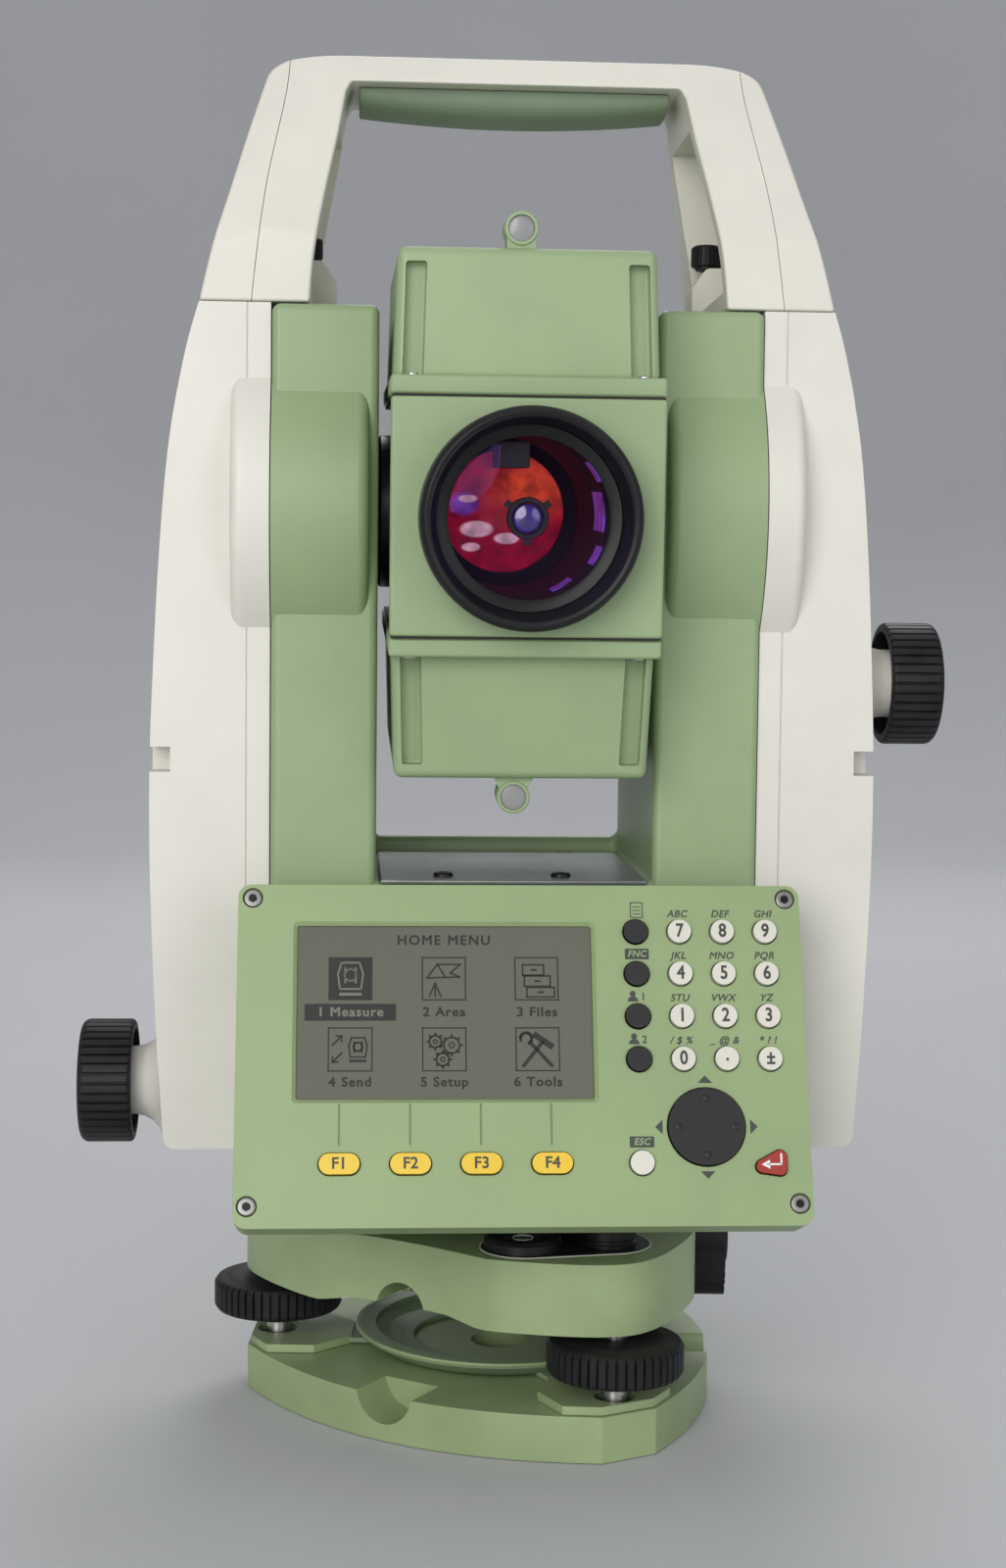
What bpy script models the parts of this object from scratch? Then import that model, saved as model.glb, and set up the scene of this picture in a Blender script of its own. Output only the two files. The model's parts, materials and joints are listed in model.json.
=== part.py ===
"""A surveying total station on its tribrach, as separate pieces with their joints' axes.

World axes: X to the instrument's right as the keyboard faces the user, Y away from the user, Z up.
The origin is at the bottom of the tribrach, on the vertical axis. Sizes are in millimetres and MM
turns them into Blender's metres.
"""

import math

import bmesh
import bpy
from mathutils import Matrix, Vector

MM = 0.001
GAP = 0.3  # between two pieces that touch

# Tribrach
SCREW_RADIUS = 62.0  # from the vertical axis to each footscrew
SCREW_ANGLES = {"front": -65.0, "back": 55.0, "left": 175.0}
BASE_HEIGHT = 12.0
BALL_HEIGHT = 10.0  # the line through two ball feet is the levelling axis
LOBE_BOTTOM = 32.4
LOBE_TOP = 51.0
SPINDLE_RADIUS = 3.3
CLAMP_ANGLE = SCREW_ANGLES["front"] + 60  # on the side between two lobes
CLAMP_HEIGHT = 43.0
# The tribrach's edge from one screw to the next: degrees past the screw, distance from the axis
LOBE_EDGE = ((-32, 59.4), (-7, 68.9), (7, 68.9), (32, 59.4), (46, 52.2), (60, 50.0), (74, 52.2))

# Alidade: the part that turns on the vertical axis
ALIDADE_BOTTOM = 68.0
PLATFORM_TOP = 144.5
STANDARD_TOP = 292.4
STANDARD_INNER = 35.8
STANDARD_OUTER = 63.0
STANDARD_HALF_DEPTH = 41.5
COVER_HALF_DEPTH = 39.0
COVER_BOTTOM = 75.0
AXIS_HEIGHT = 242.0  # the tilting axis
BULGE_RADIUS = 50.2
BORE_RADIUS = 18.0
SHAFT_RADIUS = 12.0

# Keyboard panel
PANEL_CENTRE = Vector((0.0, -78.0, 107.5))
PANEL_TILT = 20.8
PANEL_HALF_WIDTH = 70.0
PANEL_HALF_HEIGHT = 42.2
PANEL_THICKNESS = 13.0
KEY_RADIUS = 2.9
ROW_PITCH = 10.65
COLUMN_PITCH = 10.75
TOP_ROW = 30.3
BOTTOM_ROW = -27.0
NUMBER_KEYS = (("7", "8", "9"), ("4", "5", "6"), ("1", "2", "3"), ("0", "point", "sign"))

# Telescope, drawn level and then tipped
TELESCOPE_TIP = 3.4  # degrees, objective down
BODY_HALF_WIDTH = 30.0
FRONT_HALF_WIDTH = 33.3
BODY_HALF_HEIGHT = 28.8
SHELL_TOP = 65.2
FRONT_PLANE = -76.0
RING_FRONT = -90.0
RING_RADIUS = 26.7
BACK_PLANE = 52.0
EYEPIECE_END = 93.0
SIGHT_HEIGHT = 70.2
SIGHT_FORWARD = 55.0

# Drive knobs
KNOB_RADIUS = 16.2
KNOB_INNER = 99.0
KNOB_OUTER = 113.0
KNOB_DEPTH = -22.0
HORIZONTAL_DRIVE_HEIGHT = 90.0
VERTICAL_DRIVE_HEIGHT = 197.0
HUB_END = 103.4

# Handle
HANDLE_BOTTOM = 293.0
HANDLE_TOP = 360.0
HANDLE_SCREW_X = 55.0
HANDLE_SCREW_Y = 10.0

# Battery door on the right cover
DOOR_X = 88.4
DOOR_FACE = 93.8
DOOR_Y = (8.0, 34.0)
DOOR_Z = (84.0, 126.0)
LATCH_HEIGHT = 118.5

PALETTE = {
    "green": ((0.31, 0.39, 0.24), 0.45, 0.0),
    "white": ((0.72, 0.69, 0.62), 0.4, 0.0),
    "black": ((0.03, 0.03, 0.032), 0.55, 0.0),
    "steel": ((0.6, 0.6, 0.6), 0.3, 1.0),
    "glass": ((0.2, 0.06, 0.16), 0.05, 0.0),
    "screen": ((0.2, 0.2, 0.15), 0.2, 0.0),
    "dark_green": ((0.14, 0.19, 0.12), 0.5, 0.0),
    "yellow": ((0.79, 0.6, 0.06), 0.35, 0.0),
    "red": ((0.4, 0.03, 0.02), 0.35, 0.0),
}


# ---- Scene ----

def clear_scene():
    for obj in list(bpy.data.objects):
        bpy.data.objects.remove(obj, do_unlink=True)


def new_collection(name):
    collection = bpy.data.collections.new(name)
    bpy.context.scene.collection.children.link(collection)
    return collection


def make_material(name):
    colour, roughness, metallic = PALETTE[name]
    material = bpy.data.materials.new(name)
    material.use_nodes = True
    shader = material.node_tree.nodes["Principled BSDF"]
    shader.inputs["Base Color"].default_value = (*colour, 1.0)
    shader.inputs["Roughness"].default_value = roughness
    shader.inputs["Metallic"].default_value = metallic
    return material


def empty(name, place, parent=None):
    """A joint: what hangs on it moves about this point."""
    obj = bpy.data.objects.new(name, None)
    parts.objects.link(obj)
    obj.parent = parent
    origin = Vector(place) - (world_origin(parent) if parent else Vector())
    obj.location = origin * MM
    return obj


def world_origin(obj):
    """Where an untipped chain of empties puts this one, in millimetres."""
    total = Vector()
    while obj:
        total += obj.location / MM
        obj = obj.parent
    return total


def add_piece(name, mesh, material, joint):
    """A named piece that hangs on a joint, from a mesh drawn in world millimetres."""
    mesh.transform(Matrix.Scale(MM, 4) @ Matrix.Translation(-world_origin(joint)))
    mesh.materials.append(materials[material])
    mesh.shade_smooth()
    mesh.set_sharp_from_angle(angle=math.radians(35))
    obj = bpy.data.objects.new(name, mesh)
    parts.objects.link(obj)
    obj.parent = joint
    return obj


def as_cutter(name, mesh, joint):
    """A mesh drawn in world millimetres that only cuts or joins."""
    mesh.transform(Matrix.Scale(MM, 4) @ Matrix.Translation(-world_origin(joint)))
    obj = bpy.data.objects.new(name, mesh)
    cutters.objects.link(obj)
    obj.parent = joint
    obj.hide_render = True
    obj.display_type = "WIRE"
    return obj


def boolean(obj, mesh, operation="DIFFERENCE"):
    helper = as_cutter(f"{obj.name}.{operation.lower()}", mesh, obj.parent)
    modifier = obj.modifiers.new(operation.title(), "BOOLEAN")
    modifier.operation = operation
    modifier.object = helper


def bevel(obj, width, segments=1, angle=40.0):
    modifier = obj.modifiers.new("Bevel", "BEVEL")
    modifier.width = width * MM
    modifier.segments = segments
    modifier.limit_method = "ANGLE"
    modifier.angle_limit = math.radians(angle)


# ---- Shapes, drawn in world millimetres ----

def mesh_of(build, name="shape"):
    shape = bmesh.new()
    build(shape)
    mesh = bpy.data.meshes.new(name)
    shape.to_mesh(mesh)
    shape.free()
    return mesh


def box(low, high):
    low, high = Vector(low), Vector(high)
    size = Matrix.Diagonal((*(high - low), 1.0))
    place = Matrix.Translation((low + high) / 2)
    return mesh_of(lambda shape: bmesh.ops.create_cube(shape, size=1.0, matrix=place @ size))


def tapered_box(low, high, inset, direction=1):
    """A box whose far face, up or down, is smaller by inset in X and Y."""
    mesh = box(low, high)
    centre = (Vector(low) + Vector(high)) / 2
    for vertex in mesh.vertices:
        if (vertex.co.z - centre.z) * direction > 0:
            for axis in (0, 1):
                side = math.copysign(1, vertex.co[axis] - centre[axis])
                vertex.co[axis] -= side * inset[axis]
    return mesh


def turn_to(direction):
    """The rotation that takes +Z to this direction."""
    return Vector((0, 0, 1)).rotation_difference(Vector(direction)).to_matrix().to_4x4()


def cylinder(radius, start, end, sides=32):
    start, end = Vector(start), Vector(end)
    place = Matrix.Translation((start + end) / 2) @ turn_to(end - start)

    def build(shape):
        bmesh.ops.create_cone(
            shape,
            cap_ends=True,
            segments=sides,
            radius1=radius,
            radius2=radius,
            depth=(end - start).length,
            matrix=place,
        )

    return mesh_of(build)


def turned(profile, origin=(0, 0, 0), direction=(0, 0, 1), steps=32):
    """A solid of revolution. The profile is (radius, height) pairs, from the top down the outside."""
    line = bpy.data.meshes.new("profile")
    corners = [(radius * MM, 0.0, height * MM) for radius, height in profile]
    line.from_pydata(corners, [(i, i + 1) for i in range(len(corners) - 1)], [])
    obj = bpy.data.objects.new("profile", line)
    bpy.context.scene.collection.objects.link(obj)
    screw = obj.modifiers.new("Screw", "SCREW")
    screw.steps = screw.render_steps = steps
    screw.use_merge_vertices = True
    screw.merge_threshold = 0.00001
    mesh = evaluated_mesh(obj)
    mesh.transform(Matrix.Translation(Vector(origin)) @ turn_to(direction) @ Matrix.Scale(1 / MM, 4))
    return mesh


def ring_profile(outer, inner, low, high):
    """A tube's profile, which closes on itself."""
    return [(inner, high), (outer, high), (outer, low), (inner, low), (inner, high)]


def slab(outline, low, high, frame=None):
    """A flat outline in a plane, thick from low to high along the plane's normal."""
    curve = bpy.data.curves.new("outline", "CURVE")
    curve.dimensions = "2D"
    curve.fill_mode = "BOTH"
    curve.extrude = (high - low) / 2
    spline = curve.splines.new("POLY")
    spline.points.add(len(outline) - 1)
    for point, (across, up) in zip(spline.points, outline):
        point.co = (across, up, 0.0, 1.0)
    spline.use_cyclic_u = True
    obj = bpy.data.objects.new("outline", curve)
    bpy.context.scene.collection.objects.link(obj)
    mesh = evaluated_mesh(obj)
    mesh.transform((frame or Matrix()) @ Matrix.Translation((0, 0, (low + high) / 2)))
    return mesh


def evaluated_mesh(obj):
    """The object's evaluated mesh with its seams welded; the object itself is removed."""
    graph = bpy.context.evaluated_depsgraph_get()
    mesh = bpy.data.meshes.new_from_object(obj.evaluated_get(graph))
    bpy.data.objects.remove(obj, do_unlink=True)
    shape = bmesh.new()
    shape.from_mesh(mesh)
    bmesh.ops.remove_doubles(shape, verts=shape.verts, dist=0.00001)
    bmesh.ops.recalc_face_normals(shape, faces=shape.faces)
    shape.to_mesh(mesh)
    shape.free()
    return mesh


def arc(centre, radius, start, end, steps):
    """Points along an arc in a plane, angles in degrees."""
    angles = [math.radians(start + (end - start) * i / steps) for i in range(steps + 1)]
    return [(centre[0] + radius * math.cos(a), centre[1] + radius * math.sin(a)) for a in angles]


def around(radius, angle, height=0.0):
    """A point at this distance and angle from the vertical axis."""
    turn = math.radians(angle)
    return Vector((radius * math.cos(turn), radius * math.sin(turn), height))


# Planes for slabs: across and up in the outline, then the normal.
FRONT_VIEW = Matrix(((1, 0, 0, 0), (0, 0, -1, 0), (0, 1, 0, 0), (0, 0, 0, 1)))
SIDE_VIEW = Matrix(((0, 0, 1, 0), (1, 0, 0, 0), (0, 1, 0, 0), (0, 0, 0, 1)))


def panel_frame():
    """Across the panel, up its face, and out of it."""
    tilt = Matrix.Rotation(math.radians(90 - PANEL_TILT), 4, "X")
    return Matrix.Translation(PANEL_CENTRE) @ tilt


def on_panel(across, up, out=0.0):
    return panel_frame() @ Vector((across, up, out))


# ---- Tribrach ----

def lobed_outline(corner_radius, corner_half_width, middle_radius):
    """A triangle with flat corners and bowed sides, one corner at each footscrew."""
    outline = []
    angles = sorted(SCREW_ANGLES.values())
    for i, angle in enumerate(angles):
        after = angles[(i + 1) % 3] + (360 if i == 2 else 0)
        side = (angle + after) / 2
        flat = around(corner_radius, angle)
        along = around(corner_half_width, angle + 90)
        first, start = flat - along, flat + along
        end = around(corner_radius, after) - around(corner_half_width, after + 90)
        bow = around(middle_radius, side) - (start + end) / 2
        outline.append(first.to_2d())
        for step in range(8):
            t = step / 8
            outline.append((start.lerp(end, t) + bow * 4 * t * (1 - t)).to_2d())
    return [tuple(point) for point in outline]


def tribrach_outline():
    """Broad lobes with shoulders, one over each footscrew, and a waist between them."""
    outline = []
    for angle in sorted(SCREW_ANGLES.values()):
        for offset, radius in LOBE_EDGE:
            outline.append(tuple(around(radius, angle + offset).to_2d()))
    return outline


def side_angles():
    return [angle + 60 for angle in SCREW_ANGLES.values()]


def build_base_plate(joint):
    plate = add_piece(
        "base_plate", slab(lobed_outline(69.5, 8.0, 58.0), 0.0, BASE_HEIGHT), "green", joint
    )
    bevel(plate, 1.2)
    boolean(plate, cylinder(7.9, (0, 0, -1), (0, 0, BASE_HEIGHT + 1), 24))
    for angle in SCREW_ANGLES.values():
        seat = cylinder(4.9, around(SCREW_RADIUS, angle, 5.2), around(SCREW_RADIUS, angle, 20), 16)
        boolean(plate, seat)
    for angle in side_angles():
        scoop = cylinder(8.5, around(44, angle, BASE_HEIGHT + 1), around(70, angle, BASE_HEIGHT + 1), 20)
        boolean(plate, scoop)


def build_spring_plate(joint):
    """The dish that presses the ball feet into their seats, with an arm to each of them."""
    low = BASE_HEIGHT + GAP
    dish = [
        (34.0, 17.4),
        (40.0, 17.4),
        (40.0, 16.2),
        (35.0, low),
        (24.0, low),
        (24.0, 13.8),
        (34.0, 13.8),
        (34.0, 17.4),
    ]
    plate = add_piece("spring_plate", turned(dish, steps=28), "dark_green", joint)
    for angle in SCREW_ANGLES.values():
        arm = box((26, -7.5, low + 0.2), (67, 7.5, 14.2))
        arm.transform(Matrix.Rotation(math.radians(angle), 4, "Z"))
        boolean(plate, arm, "UNION")
        boolean(plate, cylinder(5.0, around(SCREW_RADIUS, angle, 0), around(SCREW_RADIUS, angle, 30), 16))


def knob_profile():
    """A footscrew from the end of its spindle down to the underside of its knob."""
    return [
        (0.0, 46.8),
        (SPINDLE_RADIUS, 46.8),
        (SPINDLE_RADIUS, 30.2),
        (12.5, 30.0),
        (16.6, 29.4),
        (17.7, 28.2),
        (17.7, 21.8),
        (16.4, 20.4),
        (9.0, 19.8),
        (8.0, 18.0),
    ]


def ball_profile(top, top_radius):
    return [
        (top_radius, top),
        (SPINDLE_RADIUS, 16.5),
        (SPINDLE_RADIUS, 13.0),
        (4.0, 11.0),
        (4.0, 9.0),
        (2.4, 6.2),
        (0.0, 6.2),
    ]


def build_footscrew(side, joint):
    place = around(SCREW_RADIUS, SCREW_ANGLES[side])
    profile = knob_profile() + ball_profile(17.8, SPINDLE_RADIUS)
    add_piece(f"footscrew_{side}", turned(profile, place, steps=24), "black", joint)


def build_front_footscrew(joint, ball_joint):
    """The front screw's ball foot is a piece of its own, which stays in its seat as the head tips."""
    place = around(SCREW_RADIUS, SCREW_ANGLES["front"])
    profile = knob_profile() + [(0.0, 18.0)]
    add_piece("footscrew_front", turned(profile, place, steps=24), "black", joint)
    ball = [(0.0, 17.6)] + ball_profile(17.6, SPINDLE_RADIUS)
    add_piece("footscrew_front_ball", turned(ball, place, steps=12), "steel", ball_joint)


def build_tribrach_body(joint):
    body = add_piece("tribrach_body", slab(tribrach_outline(), LOBE_BOTTOM, LOBE_TOP), "green", joint)
    bevel(body, 2.0)
    boolean(body, cylinder(15.4, (0, 0, 42), (0, 0, LOBE_TOP + 1), 24))
    for angle in SCREW_ANGLES.values():
        bore = cylinder(3.8, around(SCREW_RADIUS, angle, 30), around(SCREW_RADIUS, angle, 49.4), 20)
        boolean(body, bore)
    for angle in side_angles():
        arch = cylinder(7.5, around(30, angle, LOBE_BOTTOM), around(70, angle, LOBE_BOTTOM), 20)
        boolean(body, arch)
    cap = [(0.0, 65.0), (6.6, 65.0), (7.4, 64.2), (7.4, 50.0), (0.0, 50.0)]
    boolean(body, turned(cap, (25.3, -44, 0), steps=20), "UNION")


def build_clamp_knob(joint):
    """The lever that locks the instrument in the tribrach, on the side between two lobes."""
    outward = around(1, CLAMP_ANGLE)
    hub = cylinder(8.0, around(52.5, CLAMP_ANGLE, CLAMP_HEIGHT), around(63, CLAMP_ANGLE, CLAMP_HEIGHT), 24)
    lever = add_piece("clamp_knob", hub, "black", joint)
    boolean(lever, lever_arm(outward), "UNION")
    bevel(lever, 1.0)


def lever_arm(outward):
    arm = box((54.0, -6.5, 26.0), (62.5, 6.5, 42.0))
    arm.transform(turn_about_z(outward))
    return arm


def turn_about_z(outward):
    return Matrix.Rotation(math.atan2(outward.y, outward.x), 4, "Z")


def build_level(joint):
    profile = [(0.0, 54.3), (9.2, 54.3), (10.2, 53.3), (10.2, LOBE_TOP + GAP), (0.0, LOBE_TOP + GAP)]
    add_piece("circular_level", turned(profile, (2.8, -47.5, 0), steps=20), "black", joint)


def build_flange(joint):
    """The instrument's fixed foot, which plugs into the tribrach."""
    low = LOBE_TOP + GAP
    profile = [
        (0.0, 60.2),
        (34.5, 60.2),
        (36.0, 58.6),
        (36.0, low),
        (15.0, low),
        (15.0, 43.0),
        (0.0, 43.0),
    ]
    add_piece("instrument_flange", turned(profile, steps=28), "black", joint)


# ---- Alidade ----

def build_frame(joint):
    """The casting that carries both standards, the platform between them and the bearing bores."""
    frame = add_piece(
        "alidade_frame",
        box(
            (-STANDARD_OUTER, -STANDARD_HALF_DEPTH, ALIDADE_BOTTOM),
            (STANDARD_OUTER, STANDARD_HALF_DEPTH, STANDARD_TOP),
        ),
        "green",
        joint,
    )
    bevel(frame, 4.0, 2)
    boolean(frame, box((-STANDARD_INNER, -60, PLATFORM_TOP), (STANDARD_INNER, 37, 300)))
    boolean(frame, box((-STANDARD_INNER, -60, 150), (STANDARD_INNER, 60, 300)))
    drum = [(0.0, 80.0), (40.0, 80.0), (40.0, 61.6), (39.0, 60.6), (0.0, 60.6)]
    boolean(frame, turned(drum, steps=28), "UNION")
    for side in (-1, 1):
        bulge = cylinder(BULGE_RADIUS, on_axis(side * 38.2), on_axis(side * STANDARD_OUTER), 40)
        boolean(frame, bulge, "UNION")
        bore = cylinder(BORE_RADIUS, on_axis(side * 30), on_axis(side * 57), 24)
        boolean(frame, bore)


def on_axis(x):
    return Vector((x, 0.0, AXIS_HEIGHT))


def cover_outline(side):
    """The cover seen from the front: straight at the seam, bowed outside."""
    inner = STANDARD_OUTER + GAP
    outside = [
        (90.5, COVER_BOTTOM),
        (92.3, 106.0),
        (93.8, 144.0),
        (94.0, 172.0),
        (93.3, 195.0),
        (91.5, 230.0),
        (89.0, 258.0),
        (85.0, 280.0),
        (81.5, 292.7),
    ]
    return [(side * x, z) for x, z in [(inner, 292.7), (inner, COVER_BOTTOM)] + outside]


def build_cover(name, side, drive_height, joint):
    mesh = slab(cover_outline(side), -COVER_HALF_DEPTH, COVER_HALF_DEPTH, FRONT_VIEW)
    cover = add_piece(name, mesh, "white", joint)
    bevel(cover, 5.0, 2, 60)
    bulge = cylinder(BULGE_RADIUS, on_axis(side * (STANDARD_OUTER + GAP)), on_axis(side * 73.3), 40)
    boolean(cover, bulge, "UNION")
    hub_start, bore_start, hub_end, bore_end = (
        Vector((side * x, KNOB_DEPTH, drive_height)) for x in (86.0, HUB_END - 18.0, HUB_END, HUB_END + 1)
    )
    boolean(cover, cylinder(9.0, hub_start, hub_end, 24), "UNION")
    boolean(cover, cylinder(5.5, bore_start, bore_end, 24))
    return cover


def cut_battery_bay(cover):
    """A rebate for the door, and the bay behind it."""
    low = (DOOR_X - GAP, DOOR_Y[0] - GAP, DOOR_Z[0] - GAP)
    high = (110, DOOR_Y[1] + GAP, DOOR_Z[1] + GAP)
    boolean(cover, box(low, high))
    boolean(cover, box((70, DOOR_Y[0] + 4, DOOR_Z[0] + 6), (100, DOOR_Y[1] - 4, DOOR_Z[1] - 6)))


def build_drive_knob(name, side, height, joint):
    """A drive knob with a hollow back that turns on the cover's hub."""
    length = KNOB_OUTER - KNOB_INNER
    profile = [
        (0.0, length),
        (14.6, length),
        (KNOB_RADIUS, length - 1.6),
        (KNOB_RADIUS, 1.2),
        (15.4, 0.0),
        (13.8, 0.0),
        (13.8, 5.0),
        (5.0, 5.0),
        (5.0, -12.0),
        (0.0, -12.0),
    ]
    origin = (side * KNOB_INNER, KNOB_DEPTH, height)
    add_piece(name, turned(profile, origin, (side, 0, 0), 28), "black", joint)


def build_battery_door(door_joint, latch_joint):
    door = box((DOOR_X, DOOR_Y[0], DOOR_Z[0]), (DOOR_FACE, DOOR_Y[1], DOOR_Z[1]))
    bevel(add_piece("battery_door", door, "white", door_joint), 0.8)
    latch = [(0.0, 12.5), (3.0, 12.5), (4.4, 10.0), (4.4, GAP), (0.0, GAP)]
    origin = (DOOR_FACE, latch_y(), LATCH_HEIGHT)
    add_piece("battery_latch", turned(latch, origin, (1, 0, 0), 20), "black", latch_joint)


def latch_y():
    return sum(DOOR_Y) / 2


# ---- Keyboard panel ----

def rounded_outline(centre, half_width, half_height, radius, steps=3):
    outline = []
    corners = ((1, -1, -90), (1, 1, 0), (-1, 1, 90), (-1, -1, 180))
    for x, y, start in corners:
        corner = (centre[0] + x * (half_width - radius), centre[1] + y * (half_height - radius))
        outline += arc(corner, radius, start, start + 90, steps)
    return outline


def round_key(centre, radius=KEY_RADIUS, sides=12):
    return arc(centre, radius, 0, 360 - 360 / sides, sides - 1)


def function_key(centre, spare=0.0):
    """A key whose ends are half circles."""
    reach = 4.9 - 2.5
    radius = 2.5 + spare
    right = arc((centre[0] + reach, centre[1]), radius, -90, 90, 5)
    left = arc((centre[0] - reach, centre[1]), radius, 90, 270, 5)
    return right + left


def enter_outline(spare=0.0):
    """A wedge with rounded corners, its point to the left."""
    tip = arc((57.9, -28.0), 1.6 + spare, 120, 250, 3)
    low = arc((62.1, -28.6), 1.6 + spare, -90, 0, 2)
    high = arc((62.1, -25.7), 1.6 + spare, 0, 100, 3)
    return tip + low + high


def key_shapes():
    """Each key's name with its outline, and the same outline with the pocket's clearance."""
    spare = 0.35
    keys = {}
    for i in range(4):
        centre = (-44.7 + 17.13 * i, BOTTOM_ROW)
        keys[f"key_f{i + 1}"] = (function_key(centre), function_key(centre, spare), "yellow")
    for row in range(4):
        up = TOP_ROW - ROW_PITCH * row
        centre = (28.5, up)
        keys[f"key_side_{row + 1}"] = (round_key(centre, 3.0), round_key(centre, 3.0 + spare), "black")
        for column, label in enumerate(NUMBER_KEYS[row]):
            centre = (39.4 + COLUMN_PITCH * column, up)
            keys[f"key_{label}"] = (round_key(centre), round_key(centre, KEY_RADIUS + spare), "white")
    centre = (28.5, BOTTOM_ROW)
    keys["key_escape"] = (round_key(centre), round_key(centre, KEY_RADIUS + spare), "white")
    centre = (44.5, -18.3)
    keys["key_navigation"] = (round_key(centre, 9.4, 24), round_key(centre, 9.4 + spare, 24), "black")
    keys["key_enter"] = (enter_outline(), enter_outline(spare), "red")
    return keys


def build_panel(joint):
    """The tilted panel with a pocket for each key, and the wedge that joins it to the casting."""
    outline = rounded_outline((0, 0), PANEL_HALF_WIDTH, PANEL_HALF_HEIGHT, 4.0)
    plate = slab(outline, -PANEL_THICKNESS, 0.0, panel_frame())
    panel = add_piece("panel_housing", plate, "green", joint)
    bevel(panel, 1.2, 1, 60)
    back = -STANDARD_HALF_DEPTH - GAP
    wedge = [(-59.0, 136.0), (-80.0, 74.0), (back, 70.0), (back, 140.0)]
    boolean(panel, slab(wedge, -56.0, 56.0, SIDE_VIEW), "UNION")
    window = slab(rounded_outline((-18.95, 10.3), 37.9, 23.0, 1.0, 1), -1.8, 5.0, panel_frame())
    boolean(panel, window)
    for _, pocket, _ in key_shapes().values():
        boolean(panel, slab(pocket, -3.2, 5.0, panel_frame()))


def build_display(joint):
    outline = rounded_outline((-18.95, 10.3), 37.5, 22.6, 0.8, 1)
    add_piece("display", slab(outline, -1.8 + GAP, -0.5, panel_frame()), "screen", joint)


def build_keys(parent):
    for name, (outline, _, material) in key_shapes().items():
        middle = [sum(values) / len(outline) for values in zip(*outline)]
        joint = empty(f"{name}_joint", on_panel(*middle), parent)
        top = 0.9 if name == "key_navigation" else 1.3
        add_piece(name, slab(outline, -2.1, top, panel_frame()), material, joint)


# ---- Telescope ----

def build_telescope_body(joint):
    body = add_piece(
        "telescope_body",
        box(
            (-BODY_HALF_WIDTH, FRONT_PLANE + 6, axis_z(-BODY_HALF_HEIGHT)),
            (BODY_HALF_WIDTH, BACK_PLANE, axis_z(BODY_HALF_HEIGHT)),
        ),
        "green",
        joint,
    )
    bevel(body, 1.5)
    front = box(
        (-FRONT_HALF_WIDTH, FRONT_PLANE, axis_z(-BODY_HALF_HEIGHT)),
        (FRONT_HALF_WIDTH, FRONT_PLANE + 8, axis_z(BODY_HALF_HEIGHT)),
    )
    boolean(body, front, "UNION")
    boolean(body, cylinder(12.5, along(BACK_PLANE - 4), along(79), 28), "UNION")
    boolean(body, cylinder(21.5, along(FRONT_PLANE - 1), along(30), 36))
    boolean(body, cylinder(8.0, along(20), along(90), 24))


def axis_z(height):
    return AXIS_HEIGHT + height


def along(y):
    """A point on the line of sight."""
    return Vector((0.0, y, AXIS_HEIGHT))


def build_shell(name, direction, joint):
    """The upper or lower housing: a wide ledge against the body and a tapered box beyond it."""
    near = BODY_HALF_HEIGHT + GAP
    low, high = sorted((axis_z(direction * near), axis_z(direction * 34.0)))
    ledge = box((-33.5, FRONT_PLANE + 2, low), (33.5, BACK_PLANE - 1, high))
    shell = add_piece(name, ledge, "green", joint)
    low, high = sorted((axis_z(direction * 33.0), axis_z(direction * SHELL_TOP)))
    tapered = tapered_box((-32.6, -67, low), (32.6, BACK_PLANE - 3, high), (0.9, 4.0), direction)
    boolean(shell, tapered, "UNION")
    bevel(shell, 1.6)


def build_trunnion(name, side, joint):
    """A stub shaft with the flange that bolts to the telescope's side."""
    start = BODY_HALF_WIDTH + GAP
    profile = [
        (0.0, 56.0),
        (11.4, 56.0),
        (SHAFT_RADIUS, 55.4),
        (SHAFT_RADIUS, 35.4),
        (20.5, 35.4),
        (20.5, start),
        (0.0, start),
    ]
    add_piece(name, turned(profile, on_axis(0), (side, 0, 0), 24), "black", joint)


def build_bearing(name, side, joint):
    profile = ring_profile(BORE_RADIUS - GAP, SHAFT_RADIUS + 0.4, 36.2, 49.5)
    add_piece(name, turned(profile, on_axis(0), (side, 0, 0), 24), "steel", joint)


def build_vertical_circle(joint):
    profile = ring_profile(17.0, SHAFT_RADIUS + GAP, 51.5, 53.5)
    add_piece("vertical_circle", turned(profile, on_axis(0), (-1, 0, 0), 24), "glass", joint)


def build_objective(joint):
    """The ring stands on the front plate, with the lens a little way down inside it."""
    low, high = -FRONT_PLANE + GAP, -RING_FRONT
    ring = [
        (23.6, high),
        (25.4, high),
        (RING_RADIUS, high - 1.3),
        (RING_RADIUS, low),
        (23.6, low),
        (23.6, high),
    ]
    add_piece("objective_ring", turned(ring, on_axis(0), (0, -1, 0), 36), "black", joint)
    lens = [(0.0, 82.4), (12.0, 82.0), (23.2, 80.0), (23.2, low), (0.0, low)]
    add_piece("objective_lens", turned(lens, on_axis(0), (0, -1, 0), 36), "glass", joint)


def build_sight(name, direction, joint):
    """A short sighting ring on a stalk, at the front edge of the upper or lower housing."""
    centre = Vector((-1.5, -SIGHT_FORWARD, axis_z(direction * SIGHT_HEIGHT)))
    half_length = Vector((0, 5, 0))
    tube = add_piece(name, cylinder(4.2, centre - half_length, centre + half_length, 20), "green", joint)
    low, high = sorted((axis_z(direction * (SHELL_TOP + GAP)), centre.z))
    stalk = box((-5.0, -SIGHT_FORWARD - 4.5, low), (2.0, -SIGHT_FORWARD + 4.5, high))
    boolean(tube, stalk, "UNION")
    boolean(tube, cylinder(3.2, centre - 2 * half_length, centre + 2 * half_length, 20))


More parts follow.
